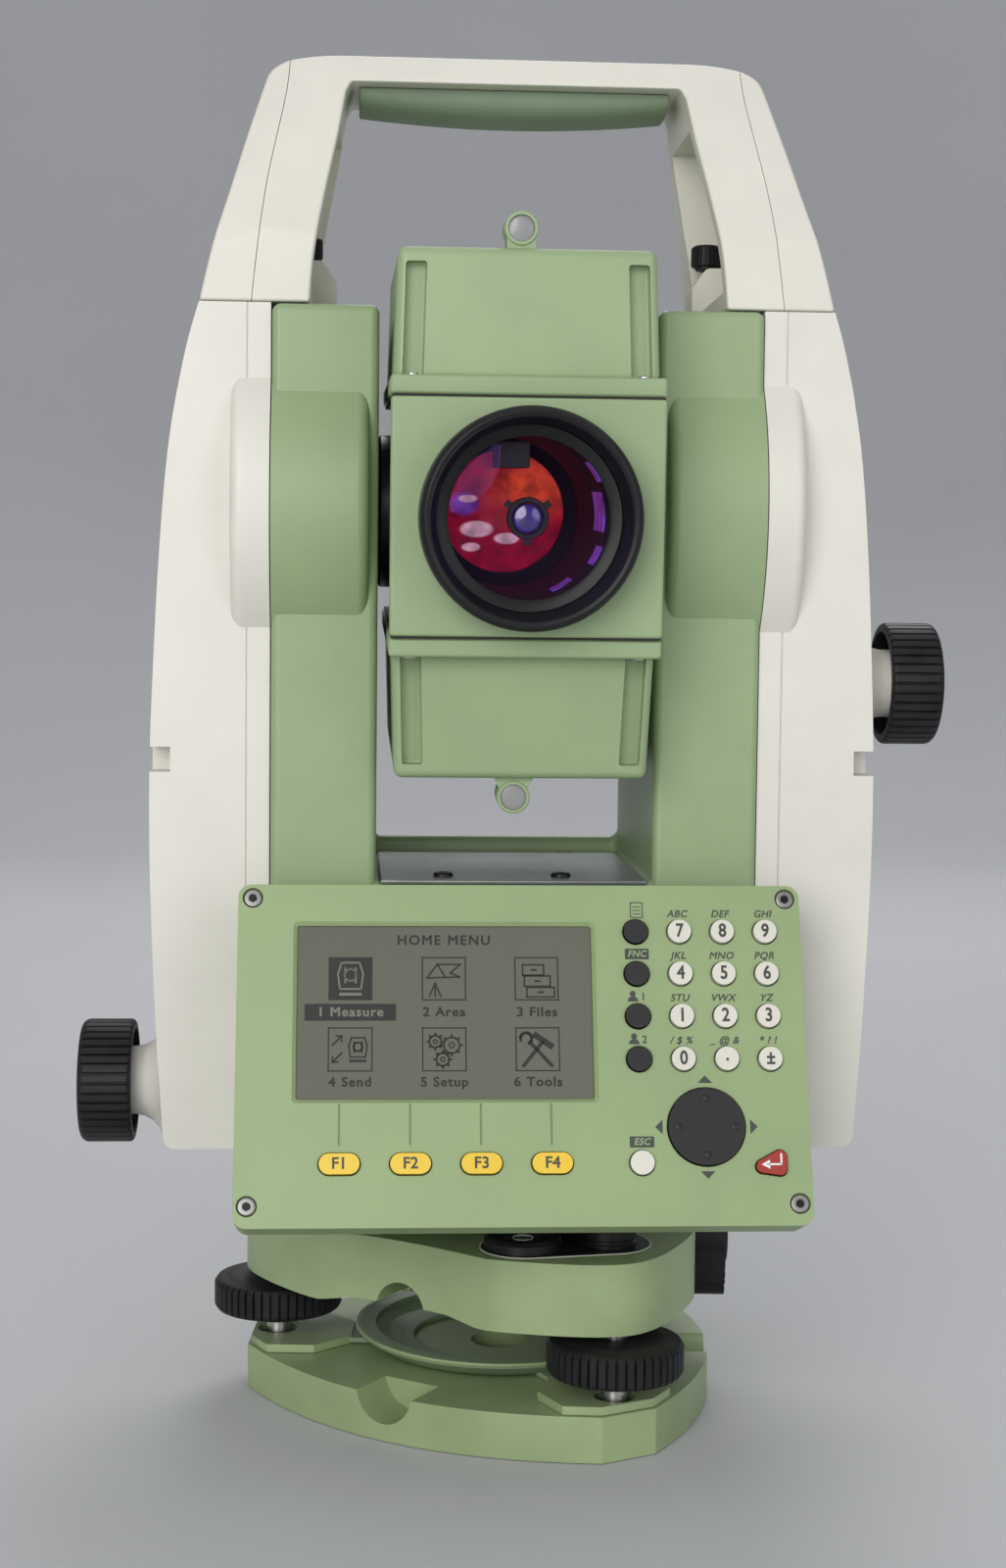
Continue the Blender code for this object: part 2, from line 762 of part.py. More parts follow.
def build_eyepiece(focus_joint, eyepiece_joint):
    focus = ring_profile(17.5, 12.5 + 0.4, BACK_PLANE + 2, 76.0)
    add_piece("focusing_ring", turned(focus, on_axis(0), (0, 1, 0), 28), "black", focus_joint)
    profile = [
        (5.0, EYEPIECE_END - 1),
        (9.0, EYEPIECE_END),
        (11.0, EYEPIECE_END - 2),
        (12.5, 84.0),
        (12.5, 79.4),
        (5.0, 79.4),
        (5.0, EYEPIECE_END - 1),
    ]
    add_piece("eyepiece", turned(profile, on_axis(0), (0, 1, 0), 24), "black", eyepiece_joint)


# ---- Handle ----

def handle_outline():
    """The arch seen from the front: the outside up one leg and down the other, then the inside."""
    leg = [(81.5, HANDLE_BOTTOM), (78.5, 306.5), (74.4, 321.0), (70.3, 336.0), (66.2, 350.0)]
    corner = [(64.6, 354.5), (62.0, 357.0), (58.0, 358.6), (50.0, 359.8), (40.0, HANDLE_TOP)]
    outer = leg + corner
    inner = [(45.0, 353.0), (45.6, 342.0), (49.8, 322.0), (52.5, 306.0), (53.5, HANDLE_BOTTOM)]
    left_outer = [(-x, z) for x, z in reversed(outer)]
    left_inner = [(-x, z) for x, z in reversed(inner)]
    return outer + left_outer + left_inner + inner


def build_handle(joint):
    """An arch whose legs are hollow on the inside, with a pad for a screw in each."""
    arch = slab(handle_outline(), -COVER_HALF_DEPTH, COVER_HALF_DEPTH, FRONT_VIEW)
    handle = add_piece("handle", arch, "white", joint)
    side = [(-39, 292), (39, 292), (36, 312), (15, HANDLE_TOP + 1), (-15, HANDLE_TOP + 1), (-36, 312)]
    boolean(handle, slab(side, -100, 100, SIDE_VIEW), "INTERSECT")
    bevel(handle, 2.0, 1, 50)
    hollow = [(-33, HANDLE_BOTTOM + 5), (-31, 312), (-18, 342), (16, 342), (19, 322), (19, HANDLE_BOTTOM + 5)]
    for way in (-1, 1):
        low, high = sorted((way * 40.0, way * 60.5))
        boolean(handle, slab(hollow, low, high, SIDE_VIEW))
        low, high = sorted((way * 47.0, way * 60.0))
        boolean(handle, box((low, 3, HANDLE_BOTTOM), (high, 17, 309.5)), "UNION")


def build_grip(joint):
    outline = arc((0, 687.3), 342.0, 270 - 6.9, 270 + 6.9, 6) + [(41.1, 352.7), (-41.1, 352.7)]
    grip = add_piece("handle_grip", slab(outline, -12, 12, FRONT_VIEW), "dark_green", joint)
    bevel(grip, 2.2, 1, 60)


def build_handle_screw(name, side, joint):
    profile = [(0.0, 316.5), (3.4, 316.5), (4.2, 315.7), (4.2, 309.8), (0.0, 309.8)]
    add_piece(name, turned(profile, (side * HANDLE_SCREW_X, HANDLE_SCREW_Y, 0), steps=20), "black", joint)


# ---- Assembly ----


def assemble_tribrach(base):
    build_base_plate(base)
    build_spring_plate(base)
    levelling_point = (
        around(SCREW_RADIUS, SCREW_ANGLES["left"], BALL_HEIGHT)
        + around(SCREW_RADIUS, SCREW_ANGLES["back"], BALL_HEIGHT)
    ) / 2
    head = empty("levelling_axis", levelling_point, base)
    build_tribrach_body(head)
    build_level(head)
    build_flange(head)
    build_clamp_knob(empty("clamp_axis", around(52.5, CLAMP_ANGLE, CLAMP_HEIGHT), head))
    for side in ("left", "back"):
        place = around(SCREW_RADIUS, SCREW_ANGLES[side], BALL_HEIGHT)
        build_footscrew(side, empty(f"footscrew_{side}_axis", place, head))
    place = around(SCREW_RADIUS, SCREW_ANGLES["front"], BALL_HEIGHT)
    ball_axis = empty("footscrew_front_ball_axis", place, head)
    build_front_footscrew(empty("footscrew_front_axis", place, ball_axis), ball_axis)
    return head


def assemble_alidade(head):
    turning = empty("vertical_axis", (0, 0, ALIDADE_BOTTOM), head)
    build_frame(turning)
    build_cover("left_cover", -1, HORIZONTAL_DRIVE_HEIGHT, turning)
    cut_battery_bay(build_cover("right_cover", 1, VERTICAL_DRIVE_HEIGHT, turning))
    build_bearing("left_bearing", -1, turning)
    build_bearing("right_bearing", 1, turning)
    build_panel(turning)
    build_display(turning)
    build_keys(turning)
    place = (-KNOB_INNER, KNOB_DEPTH, HORIZONTAL_DRIVE_HEIGHT)
    build_drive_knob("horizontal_drive_knob", -1, place[2], empty("horizontal_drive_axis", place, turning))
    place = (KNOB_INNER, KNOB_DEPTH, VERTICAL_DRIVE_HEIGHT)
    build_drive_knob("vertical_drive_knob", 1, place[2], empty("vertical_drive_axis", place, turning))
    hinge_place = (DOOR_FACE - GAP, latch_y(), DOOR_Z[0] + GAP)
    door_joint = empty("battery_door_axis", hinge_place, turning)
    latch_joint = empty("battery_latch_axis", (DOOR_FACE, latch_y(), LATCH_HEIGHT), door_joint)
    build_battery_door(door_joint, latch_joint)
    return turning


def assemble_telescope(turning):
    tilting = empty("tilting_axis", on_axis(0), turning)
    build_telescope_body(tilting)
    build_trunnion("left_trunnion", -1, tilting)
    build_trunnion("right_trunnion", 1, tilting)
    build_vertical_circle(tilting)
    build_shell("upper_shell", 1, tilting)
    build_shell("lower_shell", -1, tilting)
    build_objective(tilting)
    build_sight("upper_sight", 1, tilting)
    build_sight("lower_sight", -1, tilting)
    focus_joint = empty("focus_axis", along(BACK_PLANE), tilting)
    eyepiece_joint = empty("eyepiece_axis", along(79.4), tilting)
    build_eyepiece(focus_joint, eyepiece_joint)
    tilting.rotation_euler.x = math.radians(TELESCOPE_TIP)


def assemble_handle(turning):
    build_handle(turning)
    build_grip(turning)
    for name, side in (("left", -1), ("right", 1)):
        place = (side * HANDLE_SCREW_X, HANDLE_SCREW_Y, 309.8)
        build_handle_screw(f"handle_screw_{name}", side, empty(f"handle_screw_{name}_axis", place, turning))


clear_scene()
parts = new_collection("total_station")
cutters = new_collection("total_station_cutters")
materials = {name: make_material(name) for name in PALETTE}
tribrach_head = assemble_tribrach(empty("base", (0, 0, 0)))
alidade = assemble_alidade(tribrach_head)
assemble_telescope(alidade)
assemble_handle(alidade)
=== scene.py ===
import json
import math

import bmesh
import bpy
from mathutils import Matrix, Vector


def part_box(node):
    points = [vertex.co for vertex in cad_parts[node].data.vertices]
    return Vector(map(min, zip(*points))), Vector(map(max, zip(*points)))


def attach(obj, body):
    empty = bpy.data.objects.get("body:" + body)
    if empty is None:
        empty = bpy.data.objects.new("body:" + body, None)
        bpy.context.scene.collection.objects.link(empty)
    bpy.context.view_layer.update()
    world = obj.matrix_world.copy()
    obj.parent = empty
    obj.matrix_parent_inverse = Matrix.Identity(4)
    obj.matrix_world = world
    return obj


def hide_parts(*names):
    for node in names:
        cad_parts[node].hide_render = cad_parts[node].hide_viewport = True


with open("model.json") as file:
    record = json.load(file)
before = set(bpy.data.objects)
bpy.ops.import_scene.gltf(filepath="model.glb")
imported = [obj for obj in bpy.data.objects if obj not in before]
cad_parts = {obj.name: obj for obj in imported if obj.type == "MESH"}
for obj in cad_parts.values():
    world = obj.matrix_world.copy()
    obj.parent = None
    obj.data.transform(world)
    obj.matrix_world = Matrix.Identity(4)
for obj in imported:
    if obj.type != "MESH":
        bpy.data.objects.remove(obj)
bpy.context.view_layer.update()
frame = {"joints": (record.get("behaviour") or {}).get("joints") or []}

# Sizes are in millimetres. MM turns a finished mesh into Blender's metres.
MM = 0.001


def corners(node):
    """A CAD node's lowest and highest corners, in millimetres."""
    low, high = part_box(node)
    return Vector(low) / MM, Vector(high) / MM


def middle(node):
    low, high = corners(node)
    return (low + high) / 2


def joint_named(name):
    return next(joint for joint in frame["joints"] if joint["name"] == name)


# ---- Driving dimensions, from the frame where it holds them ----

AXIS_HEIGHT = joint_named("tilting_axis")["pos_m"][2] / MM
SIGHT_LINE = Vector(joint_named("focus_turn")["axis"])
TELESCOPE_TIP = math.atan2(SIGHT_LINE.z, SIGHT_LINE.y)
STANDARD_TOP = 292.4
STANDARD_INNER = 35.8
STANDARD_OUTER = corners("alidade_frame")[1].x
STANDARD_HALF_DEPTH = 41.5
ALIDADE_BOTTOM = 68
PLATFORM_TOP = 144.5
BULGE_RADIUS = 50.2
COVER_HALF_DEPTH = 39
COVER_BOTTOM = corners("left_cover")[0].z
COVER_TOP = 292.7
BODY_HALF_HEIGHT = 28.8
BASE_TOP = corners("base_plate")[1].z
LOBE_BOTTOM = corners("tribrach_body")[0].z
LOBE_TOP = 51
SCREW_RADIUS = 62
SCREW_ANGLES = {"front": -65, "back": 55, "left": 175}
SIDE_ANGLES = [angle + 60 for angle in SCREW_ANGLES.values()]
CLAMP_ANGLE = -5
SPINDLE_RADIUS = 3.3
LEVEL_CENTRE = (2.8, -47.5, 0)
CAP_CENTRE = (25.3, -44, 0)
# The tribrach's edge from one screw to the next: degrees past the screw, distance from the axis
LOBE_EDGE = ((-32, 59.4), (-7, 68.9), (7, 68.9), (32, 59.4), (46, 52.2), (60, 50), (74, 52.2))
PRESS_DIRECTION = Vector(joint_named("key_7_press")["axis"])
PANEL_TILT = math.atan2(-PRESS_DIRECTION.z, PRESS_DIRECTION.y)
PANEL_CENTRE = Vector((0, -78, 107.5))
PANEL_HALF_WIDTH = corners("panel_housing")[1].x
PANEL_HALF_HEIGHT = 42.2
PANEL_THICKNESS = 13
HANDLE_BOTTOM = 293
PAD_FOOT = HANDLE_BOTTOM + 0.2
HANDLE_TOP = corners("handle")[1].z
GRIP_BOW_RADIUS = 342
GRIP_BOW_CENTRE = 687.3
LEDGE_NEAR, LEDGE_FAR = 29.3, 34
SHELL_TOP = 65.2
SIGHT_HEIGHT = 70.2
SIGHT_FORWARD = 55
SIGHT_ACROSS = -1.5
SIGHT_BORE = 3.3
KNOB_INNER = 99
KNOB_LENGTH = 14
KNOB_RADIUS = 16.2
KNOB_DEPTH = -22
HUB_END = 103.4
UP = (0, 0, 1)
FORWARD = (0, -1, 0)
BACKWARD = (0, 1, 0)


# ---- Meshes, drawn in world millimetres ----

def mesh_of(build):
    shape = bmesh.new()
    build(shape)
    mesh = bpy.data.meshes.new("shape")
    shape.to_mesh(mesh)
    shape.free()
    return mesh


def evaluated(obj):
    """The object's mesh with its modifiers applied and its seams welded; the object is removed."""
    graph = bpy.context.evaluated_depsgraph_get()
    mesh = bpy.data.meshes.new_from_object(obj.evaluated_get(graph))
    bpy.data.objects.remove(obj, do_unlink=True)
    shape = bmesh.new()
    shape.from_mesh(mesh)
    bmesh.ops.remove_doubles(shape, verts=shape.verts, dist=0.00001)
    bmesh.ops.recalc_face_normals(shape, faces=shape.faces)
    shape.to_mesh(mesh)
    shape.free()
    mesh.materials.clear()
    return mesh


def linked(name, data):
    obj = bpy.data.objects.new(name, data)
    bpy.context.scene.collection.objects.link(obj)
    return obj


def box(low, high):
    low, high = Vector(low), Vector(high)
    size = Matrix.Diagonal((*(high - low), 1))
    place = Matrix.Translation((low + high) / 2)
    return mesh_of(lambda shape: bmesh.ops.create_cube(shape, size=1, matrix=place @ size))


def side_box(side, near, far, low, high):
    """A box between two distances on one side (-1 or 1), from low (Y, Z) to high (Y, Z)."""
    first, last = sorted((side * near, side * far))
    return box((first, *low), (last, *high))


def turn_to(direction):
    return Vector(UP).rotation_difference(Vector(direction)).to_matrix().to_4x4()


def cylinder(radius, start, end, sides=64):
    start, end = Vector(start), Vector(end)
    size = {"radius1": radius, "radius2": radius, "depth": (end - start).length}
    place = Matrix.Translation((start + end) / 2) @ turn_to(end - start)
    return mesh_of(
        lambda shape: bmesh.ops.create_cone(shape, cap_ends=True, segments=sides, matrix=place, **size)
    )


def screw_modifier(obj, steps):
    screw = obj.modifiers.new("Screw", "SCREW")
    screw.steps = screw.render_steps = steps
    return screw


def line_mesh(profile):
    """A profile of (radius, height) pairs as a line, in metres."""
    line = bpy.data.meshes.new("profile")
    points = [(radius * MM, 0, height * MM) for radius, height in profile]
    line.from_pydata(points, [(i, i + 1) for i in range(len(points) - 1)], [])
    return line


def turned(profile, origin=(0, 0, 0), direction=UP, steps=96):
    """A solid of revolution from (radius, height) pairs."""
    obj = linked("temporary", line_mesh(profile))
    screw = screw_modifier(obj, steps)
    screw.use_merge_vertices = True
    screw.merge_threshold = 0.00001
    mesh = evaluated(obj)
    mesh.transform(Matrix.Translation(Vector(origin)) @ turn_to(direction) @ Matrix.Scale(1 / MM, 4))
    return mesh


def slab(outline, low, high, plane=None):
    """A flat outline in a plane, thick from low to high along the plane's normal."""
    curve = bpy.data.curves.new("outline", "CURVE")
    curve.dimensions = "2D"
    curve.fill_mode = "BOTH"
    curve.extrude = (high - low) / 2
    spline = curve.splines.new("POLY")
    spline.points.add(len(outline) - 1)
    for point, (across, up) in zip(spline.points, outline):
        point.co = (across, up, 0, 1)
    spline.use_cyclic_u = True
    mesh = evaluated(linked("temporary", curve))
    mesh.transform((plane or Matrix()) @ Matrix.Translation((0, 0, (low + high) / 2)))
    return mesh


def combined(first, second, operation="DIFFERENCE"):
    """The Boolean of two meshes as a new mesh."""
    target, other = linked("temporary", first), linked("temporary", second)
    modifier = target.modifiers.new("Boolean", "BOOLEAN")
    modifier.operation = operation
    modifier.object = other
    mesh = evaluated(target)
    bpy.data.objects.remove(other, do_unlink=True)
    return mesh


def union(first, second):
    return combined(first, second, "UNION")


def common(first, second):
    return combined(first, second, "INTERSECT")


def softened(mesh, width, segments=4, angle=40):
    """The mesh with its sharp edges rounded."""
    obj = linked("temporary", mesh)
    modifier = obj.modifiers.new("Bevel", "BEVEL")
    modifier.width = width
    modifier.segments = segments
    modifier.limit_method = "ANGLE"
    modifier.angle_limit = math.radians(angle)
    return evaluated(obj)


def lofted(loops):
    """A closed solid through these loops of points, capped at both ends."""

    def build(shape):
        rings = [[shape.verts.new(point) for point in loop] for loop in loops]
        for lower, upper in zip(rings, rings[1:]):
            for i in range(len(lower)):
                j = (i + 1) % len(lower)
                shape.faces.new((lower[i], lower[j], upper[j], upper[i]))
        shape.faces.new(rings[0])
        shape.faces.new(rings[-1])
        bmesh.ops.recalc_face_normals(shape, faces=shape.faces)

    return mesh_of(build)


def joined(meshes):
    """Several meshes in one, each still its own shell."""

    def build(shape):
        for mesh in meshes:
            shape.from_mesh(mesh)

    return mesh_of(build)


def arc(centre, radius, start, end, steps):
    angles = [math.radians(start + (end - start) * i / steps) for i in range(steps + 1)]
    return [(centre[0] + radius * math.cos(a), centre[1] + radius * math.sin(a)) for a in angles]


def rounded_outline(centre, half_width, half_height, radius, steps=6):
    outline = []
    for x, y, start in ((1, -1, -90), (1, 1, 0), (-1, 1, 90), (-1, -1, 180)):
        corner = (centre[0] + x * (half_width - radius), centre[1] + y * (half_height - radius))
        outline += arc(corner, radius, start, start + 90, steps)
    return outline


def smooth_line(points, steps=6):
    """Points along a smooth curve through these ones."""
    line = []
    last = len(points) - 1
    for i in range(last):
        before, start, end, after = (Vector(points[min(max(i + k, 0), last)]) for k in (-1, 0, 1, 2))
        for step in range(steps):
            t = step / steps
            a = 2 * start
            b = (end - before) * t
            c = (2 * before - 5 * start + 4 * end - after) * t * t
            d = (3 * start - before - 3 * end + after) * t ** 3
            line.append(tuple((a + b + c + d) / 2))
    return line + [tuple(points[-1])]


def around(radius, angle, height=0):
    turn = math.radians(angle)
    return Vector((radius * math.cos(turn), radius * math.sin(turn), height))


def moved(mesh, matrix):
    mesh.transform(matrix)
    return mesh


def rounded_disc(radius, low, high, rounding):
    """A disc's profile with a rounded top edge."""
    top = arc((radius - rounding, high - rounding), rounding, 90, 0, 6)
    return [(0, high)] + top + [(radius, low), (0, low)]


def mirrored_outline(side, outline):
    return [(side * across, up) for across, up in outline]


FRONT_VIEW = Matrix(((1, 0, 0, 0), (0, 0, -1, 0), (0, 1, 0, 0), (0, 0, 0, 1)))
BACK_VIEW = Matrix(((-1, 0, 0, 0), (0, 0, 1, 0), (0, 1, 0, 0), (0, 0, 0, 1)))
SIDE_VIEW = Matrix(((0, 0, 1, 0), (1, 0, 0, 0), (0, 1, 0, 0), (0, 0, 0, 1)))
PANEL = Matrix.Translation(PANEL_CENTRE) @ Matrix.Rotation(math.pi / 2 - PANEL_TILT, 4, "X")


def turned_about(centre, angle, axis):
    """A turn in degrees about a line through a point."""
    turn = Matrix.Rotation(math.radians(angle), 4, axis)
    return Matrix.Translation(centre) @ turn @ Matrix.Translation(-Vector(centre))


TIPPED = turned_about((0, 0, AXIS_HEIGHT), math.degrees(TELESCOPE_TIP), "X")


# ---- Finishes ----

class Nodes:
    """A material's nodes. Each input is another node's output or a plain value."""

    def __init__(self, name):
        self.material = bpy.data.materials.new(name)
        self.material.use_nodes = True
        self.tree = self.material.node_tree
        self.shader = self.tree.nodes["Principled BSDF"]

    def fill(self, node, inputs):
        for key, value in inputs.items():
            if isinstance(value, bpy.types.NodeSocket):
                self.tree.links.new(value, node.inputs[key])
            else:
                node.inputs[key].default_value = value

    def add(self, kind, inputs, output=0, **settings):
        """A new node's output."""
        node = self.tree.nodes.new("ShaderNode" + kind)
        for name, value in settings.items():
            setattr(node, name, value)
        self.fill(node, inputs)
        return node.outputs[output]

    def place(self):
        return self.add("TexCoord", {}, "Object")

    def noise(self, place, size, detail=3):
        """Noise whose features are about this many millimetres across."""
        return self.add("TexNoise", {"Scale": 1 / (size * MM), "Detail": detail, "Vector": place})

    def ramp(self, factor, first, second):
        """From one colour to the other over the middle third of a noise."""
        colour = self.add("ValToRGB", {"Fac": factor})
        ends = colour.node.color_ramp.elements
        for end, position, value in zip(ends, (0.32, 0.68), (first, second)):
            end.position = position
            end.color = (*value, 1)
        return colour

    def mixed(self, factor, first, second, blend_type="MIX"):
        return self.add("Mix", {0: factor, 6: first, 7: second}, 2, data_type="RGBA", blend_type=blend_type)

    def remapped(self, value, low, high):
        return self.add("MapRange", {"Value": value, "To Min": low, "To Max": high})

    def patch(self, place, centre, size, edge):
        """One inside an ellipse about a point, given in millimetres, and zero outside it."""
        location = [-c / s for c, s in zip(centre, size)]
        scale = [1 / (s * MM) for s in size]
        unit = self.add("Mapping", {"Location": location, "Scale": scale, "Vector": place})
        length = self.add("VectorMath", {0: unit}, "Value", operation="LENGTH")
        limits = {"Value": length, "From Min": 1, "From Max": 1 - edge}
        return self.add("MapRange", limits, interpolation_type="SMOOTHSTEP")


def finish(name, colour, roughness, metallic=0, drift=0.08, drift_size=25,
           grain=0, grain_size=0.5, coat=0, shine=0.5, glow=0):
    """A finish whose tone drifts over the piece, with a fine grain and a varying gloss."""
    nodes = Nodes(name)
    place = nodes.place()
    darker = [c * (1 - drift) for c in colour]
    lighter = [min(c * (1 + drift), 1) for c in colour]
    tone = nodes.ramp(nodes.noise(place, drift_size), darker, lighter)
    inputs = {"Metallic": metallic, "Coat Weight": coat, "Specular IOR Level": shine, "Base Color": tone}
    if glow:
        inputs |= {"Emission Color": tone, "Emission Strength": glow}
    gloss = nodes.noise(place, drift_size / 4)
    inputs["Roughness"] = nodes.remapped(gloss, max(roughness - 0.06, 0), min(roughness + 0.06, 1))
    if grain:
        height = nodes.noise(place, grain_size, 2)
        inputs["Normal"] = nodes.add("Bump", {"Strength": grain, "Distance": 0.00012, "Height": height})
    nodes.fill(nodes.shader, inputs)
    return nodes.material


def brushed(name, colour, roughness):
    """Turned bare metal with fine streaks."""
    nodes = Nodes(name)
    stretched = nodes.add("Mapping", {"Scale": (1, 1, 12), "Vector": nodes.place()})
    streaks = nodes.noise(stretched, 2)
    tone = nodes.ramp(streaks, [c * 0.8 for c in colour], colour)
    gloss = nodes.remapped(streaks, roughness - 0.08, roughness + 0.1)
    nodes.fill(nodes.shader, {"Metallic": 1, "Base Color": tone, "Roughness": gloss})
    return nodes.material


def clear_glass(name, tint, gloss_tint):
    """Coated glass: clear, with a coloured reflection that grows towards the edge."""
    nodes = Nodes(name)
    nodes.tree.nodes.remove(nodes.shader)
    clear = nodes.add("BsdfTransparent", {"Color": (*tint, 1)})
    gloss = nodes.add("BsdfGlossy", {"Color": (*gloss_tint, 1), "Roughness": 0.03})
    edge = nodes.add("Fresnel", {"IOR": 1.3})
    mix = nodes.add("MixShader", {0: edge, 1: clear, 2: gloss})
    nodes.fill(nodes.tree.nodes["Material Output"], {"Surface": mix})
    return nodes.material


def mirror_coating(name):
    """The deep coated element: crimson, orange at its upper right, with pale panes and a violet one painted
    on as reflections of windows, painted shadows from a noise, and an emission glow that is painted light.
    """
    nodes = Nodes(name)
    place = nodes.place()

    def patched(under, x, z, half_width, half_height, edge, over):
        centre = (x, 20, AXIS_HEIGHT + 1.2 + z)
        patch = nodes.patch(place, centre, (half_width, 60, half_height), edge)
        return nodes.mixed(patch, under, (*over, 1))

    colour = patched((0.36, 0.004, 0.03, 1), 8, 7, 17, 13, 0.9, (0.95, 0.09, 0.035))
    colour = patched(colour, -11, 2, 5, 4, 0.5, (0.25, 0.06, 0.55))
    # Painted reflections: pale window panes on the coating
    for pane in ((-7.5, -5, 5.2, 2.6), (1, -7.5, 4, 1.8), (-10, 3.5, 3, 1.2), (-9, -10, 3, 1.4)):
        colour = patched(colour, *pane, 0.3, (0.95, 0.55, 0.70))
    # Painted shadows: darker patches from a noise
    shadows = nodes.ramp(nodes.noise(place, 4, 2), (0.25,) * 3, (1,) * 3)
    colour = nodes.mixed(0.75, colour, shadows, "MULTIPLY")
    inputs = {"Metallic": 0.3, "Roughness": 0.15, "Base Color": colour}
    # The emission makes the disc glow though it is no lamp: painted light
    nodes.fill(nodes.shader, inputs | {"Emission Color": colour, "Emission Strength": 0.55})
    return nodes.material


def screen_finish(name, light, dark):
    """The display's grey-green, a shade brighter towards its right end as painted light, with a very fine dot
    pattern.
    """
    nodes = Nodes(name)
    place = nodes.place()
    low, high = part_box("display")
    # Painted light: across the pane, from the first colour at its left edge to the brighter second one at its
    # right
    across = {"Value": nodes.add("SeparateXYZ", {"Vector": place}), "From Min": low.x, "From Max": high.x}
    drift = nodes.add("MapRange", across, interpolation_type="SMOOTHSTEP")
    colour = nodes.mixed(drift, (*light, 1), (*dark, 1))
    dots = nodes.add("TexChecker", {"Scale": 1 / (0.3 * MM), "Vector": place})
    colour = nodes.mixed(0.06, colour, dots, "MULTIPLY")
    gloss = {"Roughness": 0.4, "Specular IOR Level": 0.25, "Coat Weight": 0.08}
    nodes.fill(nodes.shader, gloss | {"Base Color": colour})
    return nodes.material


FINE_GRAIN = {"drift": 0.04, "grain": 0.30, "grain_size": 0.45}

FINISHES = {
    "green": finish("green", (0.282, 0.378, 0.203), 0.42, **FINE_GRAIN),
    "tribrach_green": finish("tribrach_green", (0.290, 0.372, 0.190), 0.38, drift=0.09, grain=0.14),
    # Painted shade: the spring dish's darker green stands for the shadow under the tribrach
    "dish_green_painted_shade": finish("dish_green_painted_shade", (0.20, 0.27, 0.16), 0.42, drift=0.12, grain=0.1),
    "panel_green": finish("panel_green", (0.275, 0.368, 0.176), 0.42, **FINE_GRAIN),
    "white": finish("white", (0.70, 0.68, 0.615), 0.42, drift=0.03, grain=0.16, grain_size=0.35),
    "handle_white": finish("handle_white", (0.70, 0.68, 0.605), 0.42, drift=0.03, grain=0.12),
    "grip": finish("grip", (0.19, 0.255, 0.165), 0.6, drift=0.08, grain=0.25),
    "knob": finish("knob", (0.014, 0.014, 0.0155), 0.48, drift=0.25, drift_size=6, grain=0.12, shine=0.22),
    "black": finish("black", (0.010, 0.010, 0.011), 0.35, drift=0.3, grain=0.05, shine=0.3),
    "baffle": finish("baffle", (0.004, 0.004, 0.005), 0.7, drift=0.3),
    "ring_grey": finish("ring_grey", (0.012, 0.012, 0.013), 0.36, drift=0.2, shine=0.2),
    "platform": finish("platform", (0.26, 0.27, 0.27), 0.3, metallic=0.6, drift=0.15, grain=0.05),
    "steel": brushed("steel", (0.62, 0.61, 0.58), 0.3),
    "seam": finish("seam", (0.02, 0.022, 0.018), 0.8),
    # The display's two ends: the second colour, at the right, is brighter as painted light
    "screen": screen_finish("screen", (0.120, 0.122, 0.093), (0.130, 0.132, 0.103)),
    "pixel": finish("pixel", (0.013, 0.013, 0.010), 0.6, drift=0.05),
    "pixel_light": finish("pixel_light", (0.16, 0.16, 0.12), 0.5, drift=0.03),
    "legend": finish("legend", (0.045, 0.05, 0.04), 0.5, drift=0.05),
    "legend_white": finish("legend_white", (0.8, 0.8, 0.78), 0.5, drift=0.02),
    "key_white": finish("key_white", (0.68, 0.66, 0.58), 0.35, drift=0.03),
    "key_black": finish("key_black", (0.021, 0.021, 0.0225), 0.45, drift=0.08, shine=0.3),
    "key_yellow": finish("key_yellow", (0.80, 0.54, 0.036), 0.32, drift=0.03, coat=0.3),
    "key_red": finish("key_red", (0.35, 0.030, 0.022), 0.32, drift=0.05, coat=0.3),
    "lens": clear_glass("lens", (0.98, 0.95, 0.985), (0.30, 0.18, 0.55)),
    "mirror": mirror_coating("mirror"),
    "violet": finish("violet", (0.035, 0.022, 0.22), 0.15, drift=0.5, drift_size=3, coat=1),
    # Painted reflection: violet strips that glow though they are no lamp
    "violet_painted_reflection": finish("violet_painted_reflection", (0.09, 0.035, 0.36), 0.3, drift=0.9, drift_size=5, glow=0.4),
    "screw": brushed("screw", (0.30, 0.295, 0.28), 0.42),
    "window": finish("window", (0.27, 0.27, 0.275), 0.3, drift=0.03, coat=0.3),
    "vial": finish("vial", (0.012, 0.016, 0.010), 0.08, drift=0.2, coat=1),
    "bubble": finish("bubble", (0.10, 0.13, 0.08), 0.15, drift=0.1, coat=1),
}


# ---- Pieces ----

def piece(name, mesh, finish_name, body, replaces=(), sharp_angle=32):
    """A finished piece of the object that rides on a body."""
    mesh.transform(Matrix.Scale(MM, 4))
    mesh.materials.append(FINISHES[finish_name])
    obj = linked(name, mesh)
    mesh.shade_smooth()
    mesh.set_sharp_from_angle(angle=math.radians(sharp_angle))
    weighted = obj.modifiers.new("Weighted normals", "WEIGHTED_NORMAL")
    weighted.keep_sharp = True
    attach(obj, body)
    if replaces:
        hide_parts(*replaces)


def toothed_outline(radius, teeth, depth, groove_share=0.3):
    """A circle with narrow grooves between broad teeth."""
    outline = []
    groove = 360 / teeth * groove_share
    for i in range(teeth):
        start = 360 * i / teeth
        end = start + 360 / teeth - groove
        outline += arc((0, 0), radius, start, end, 2)
        outline += arc((0, 0), radius - depth, end + groove * 0.3, end + groove * 0.7, 1)
    return outline


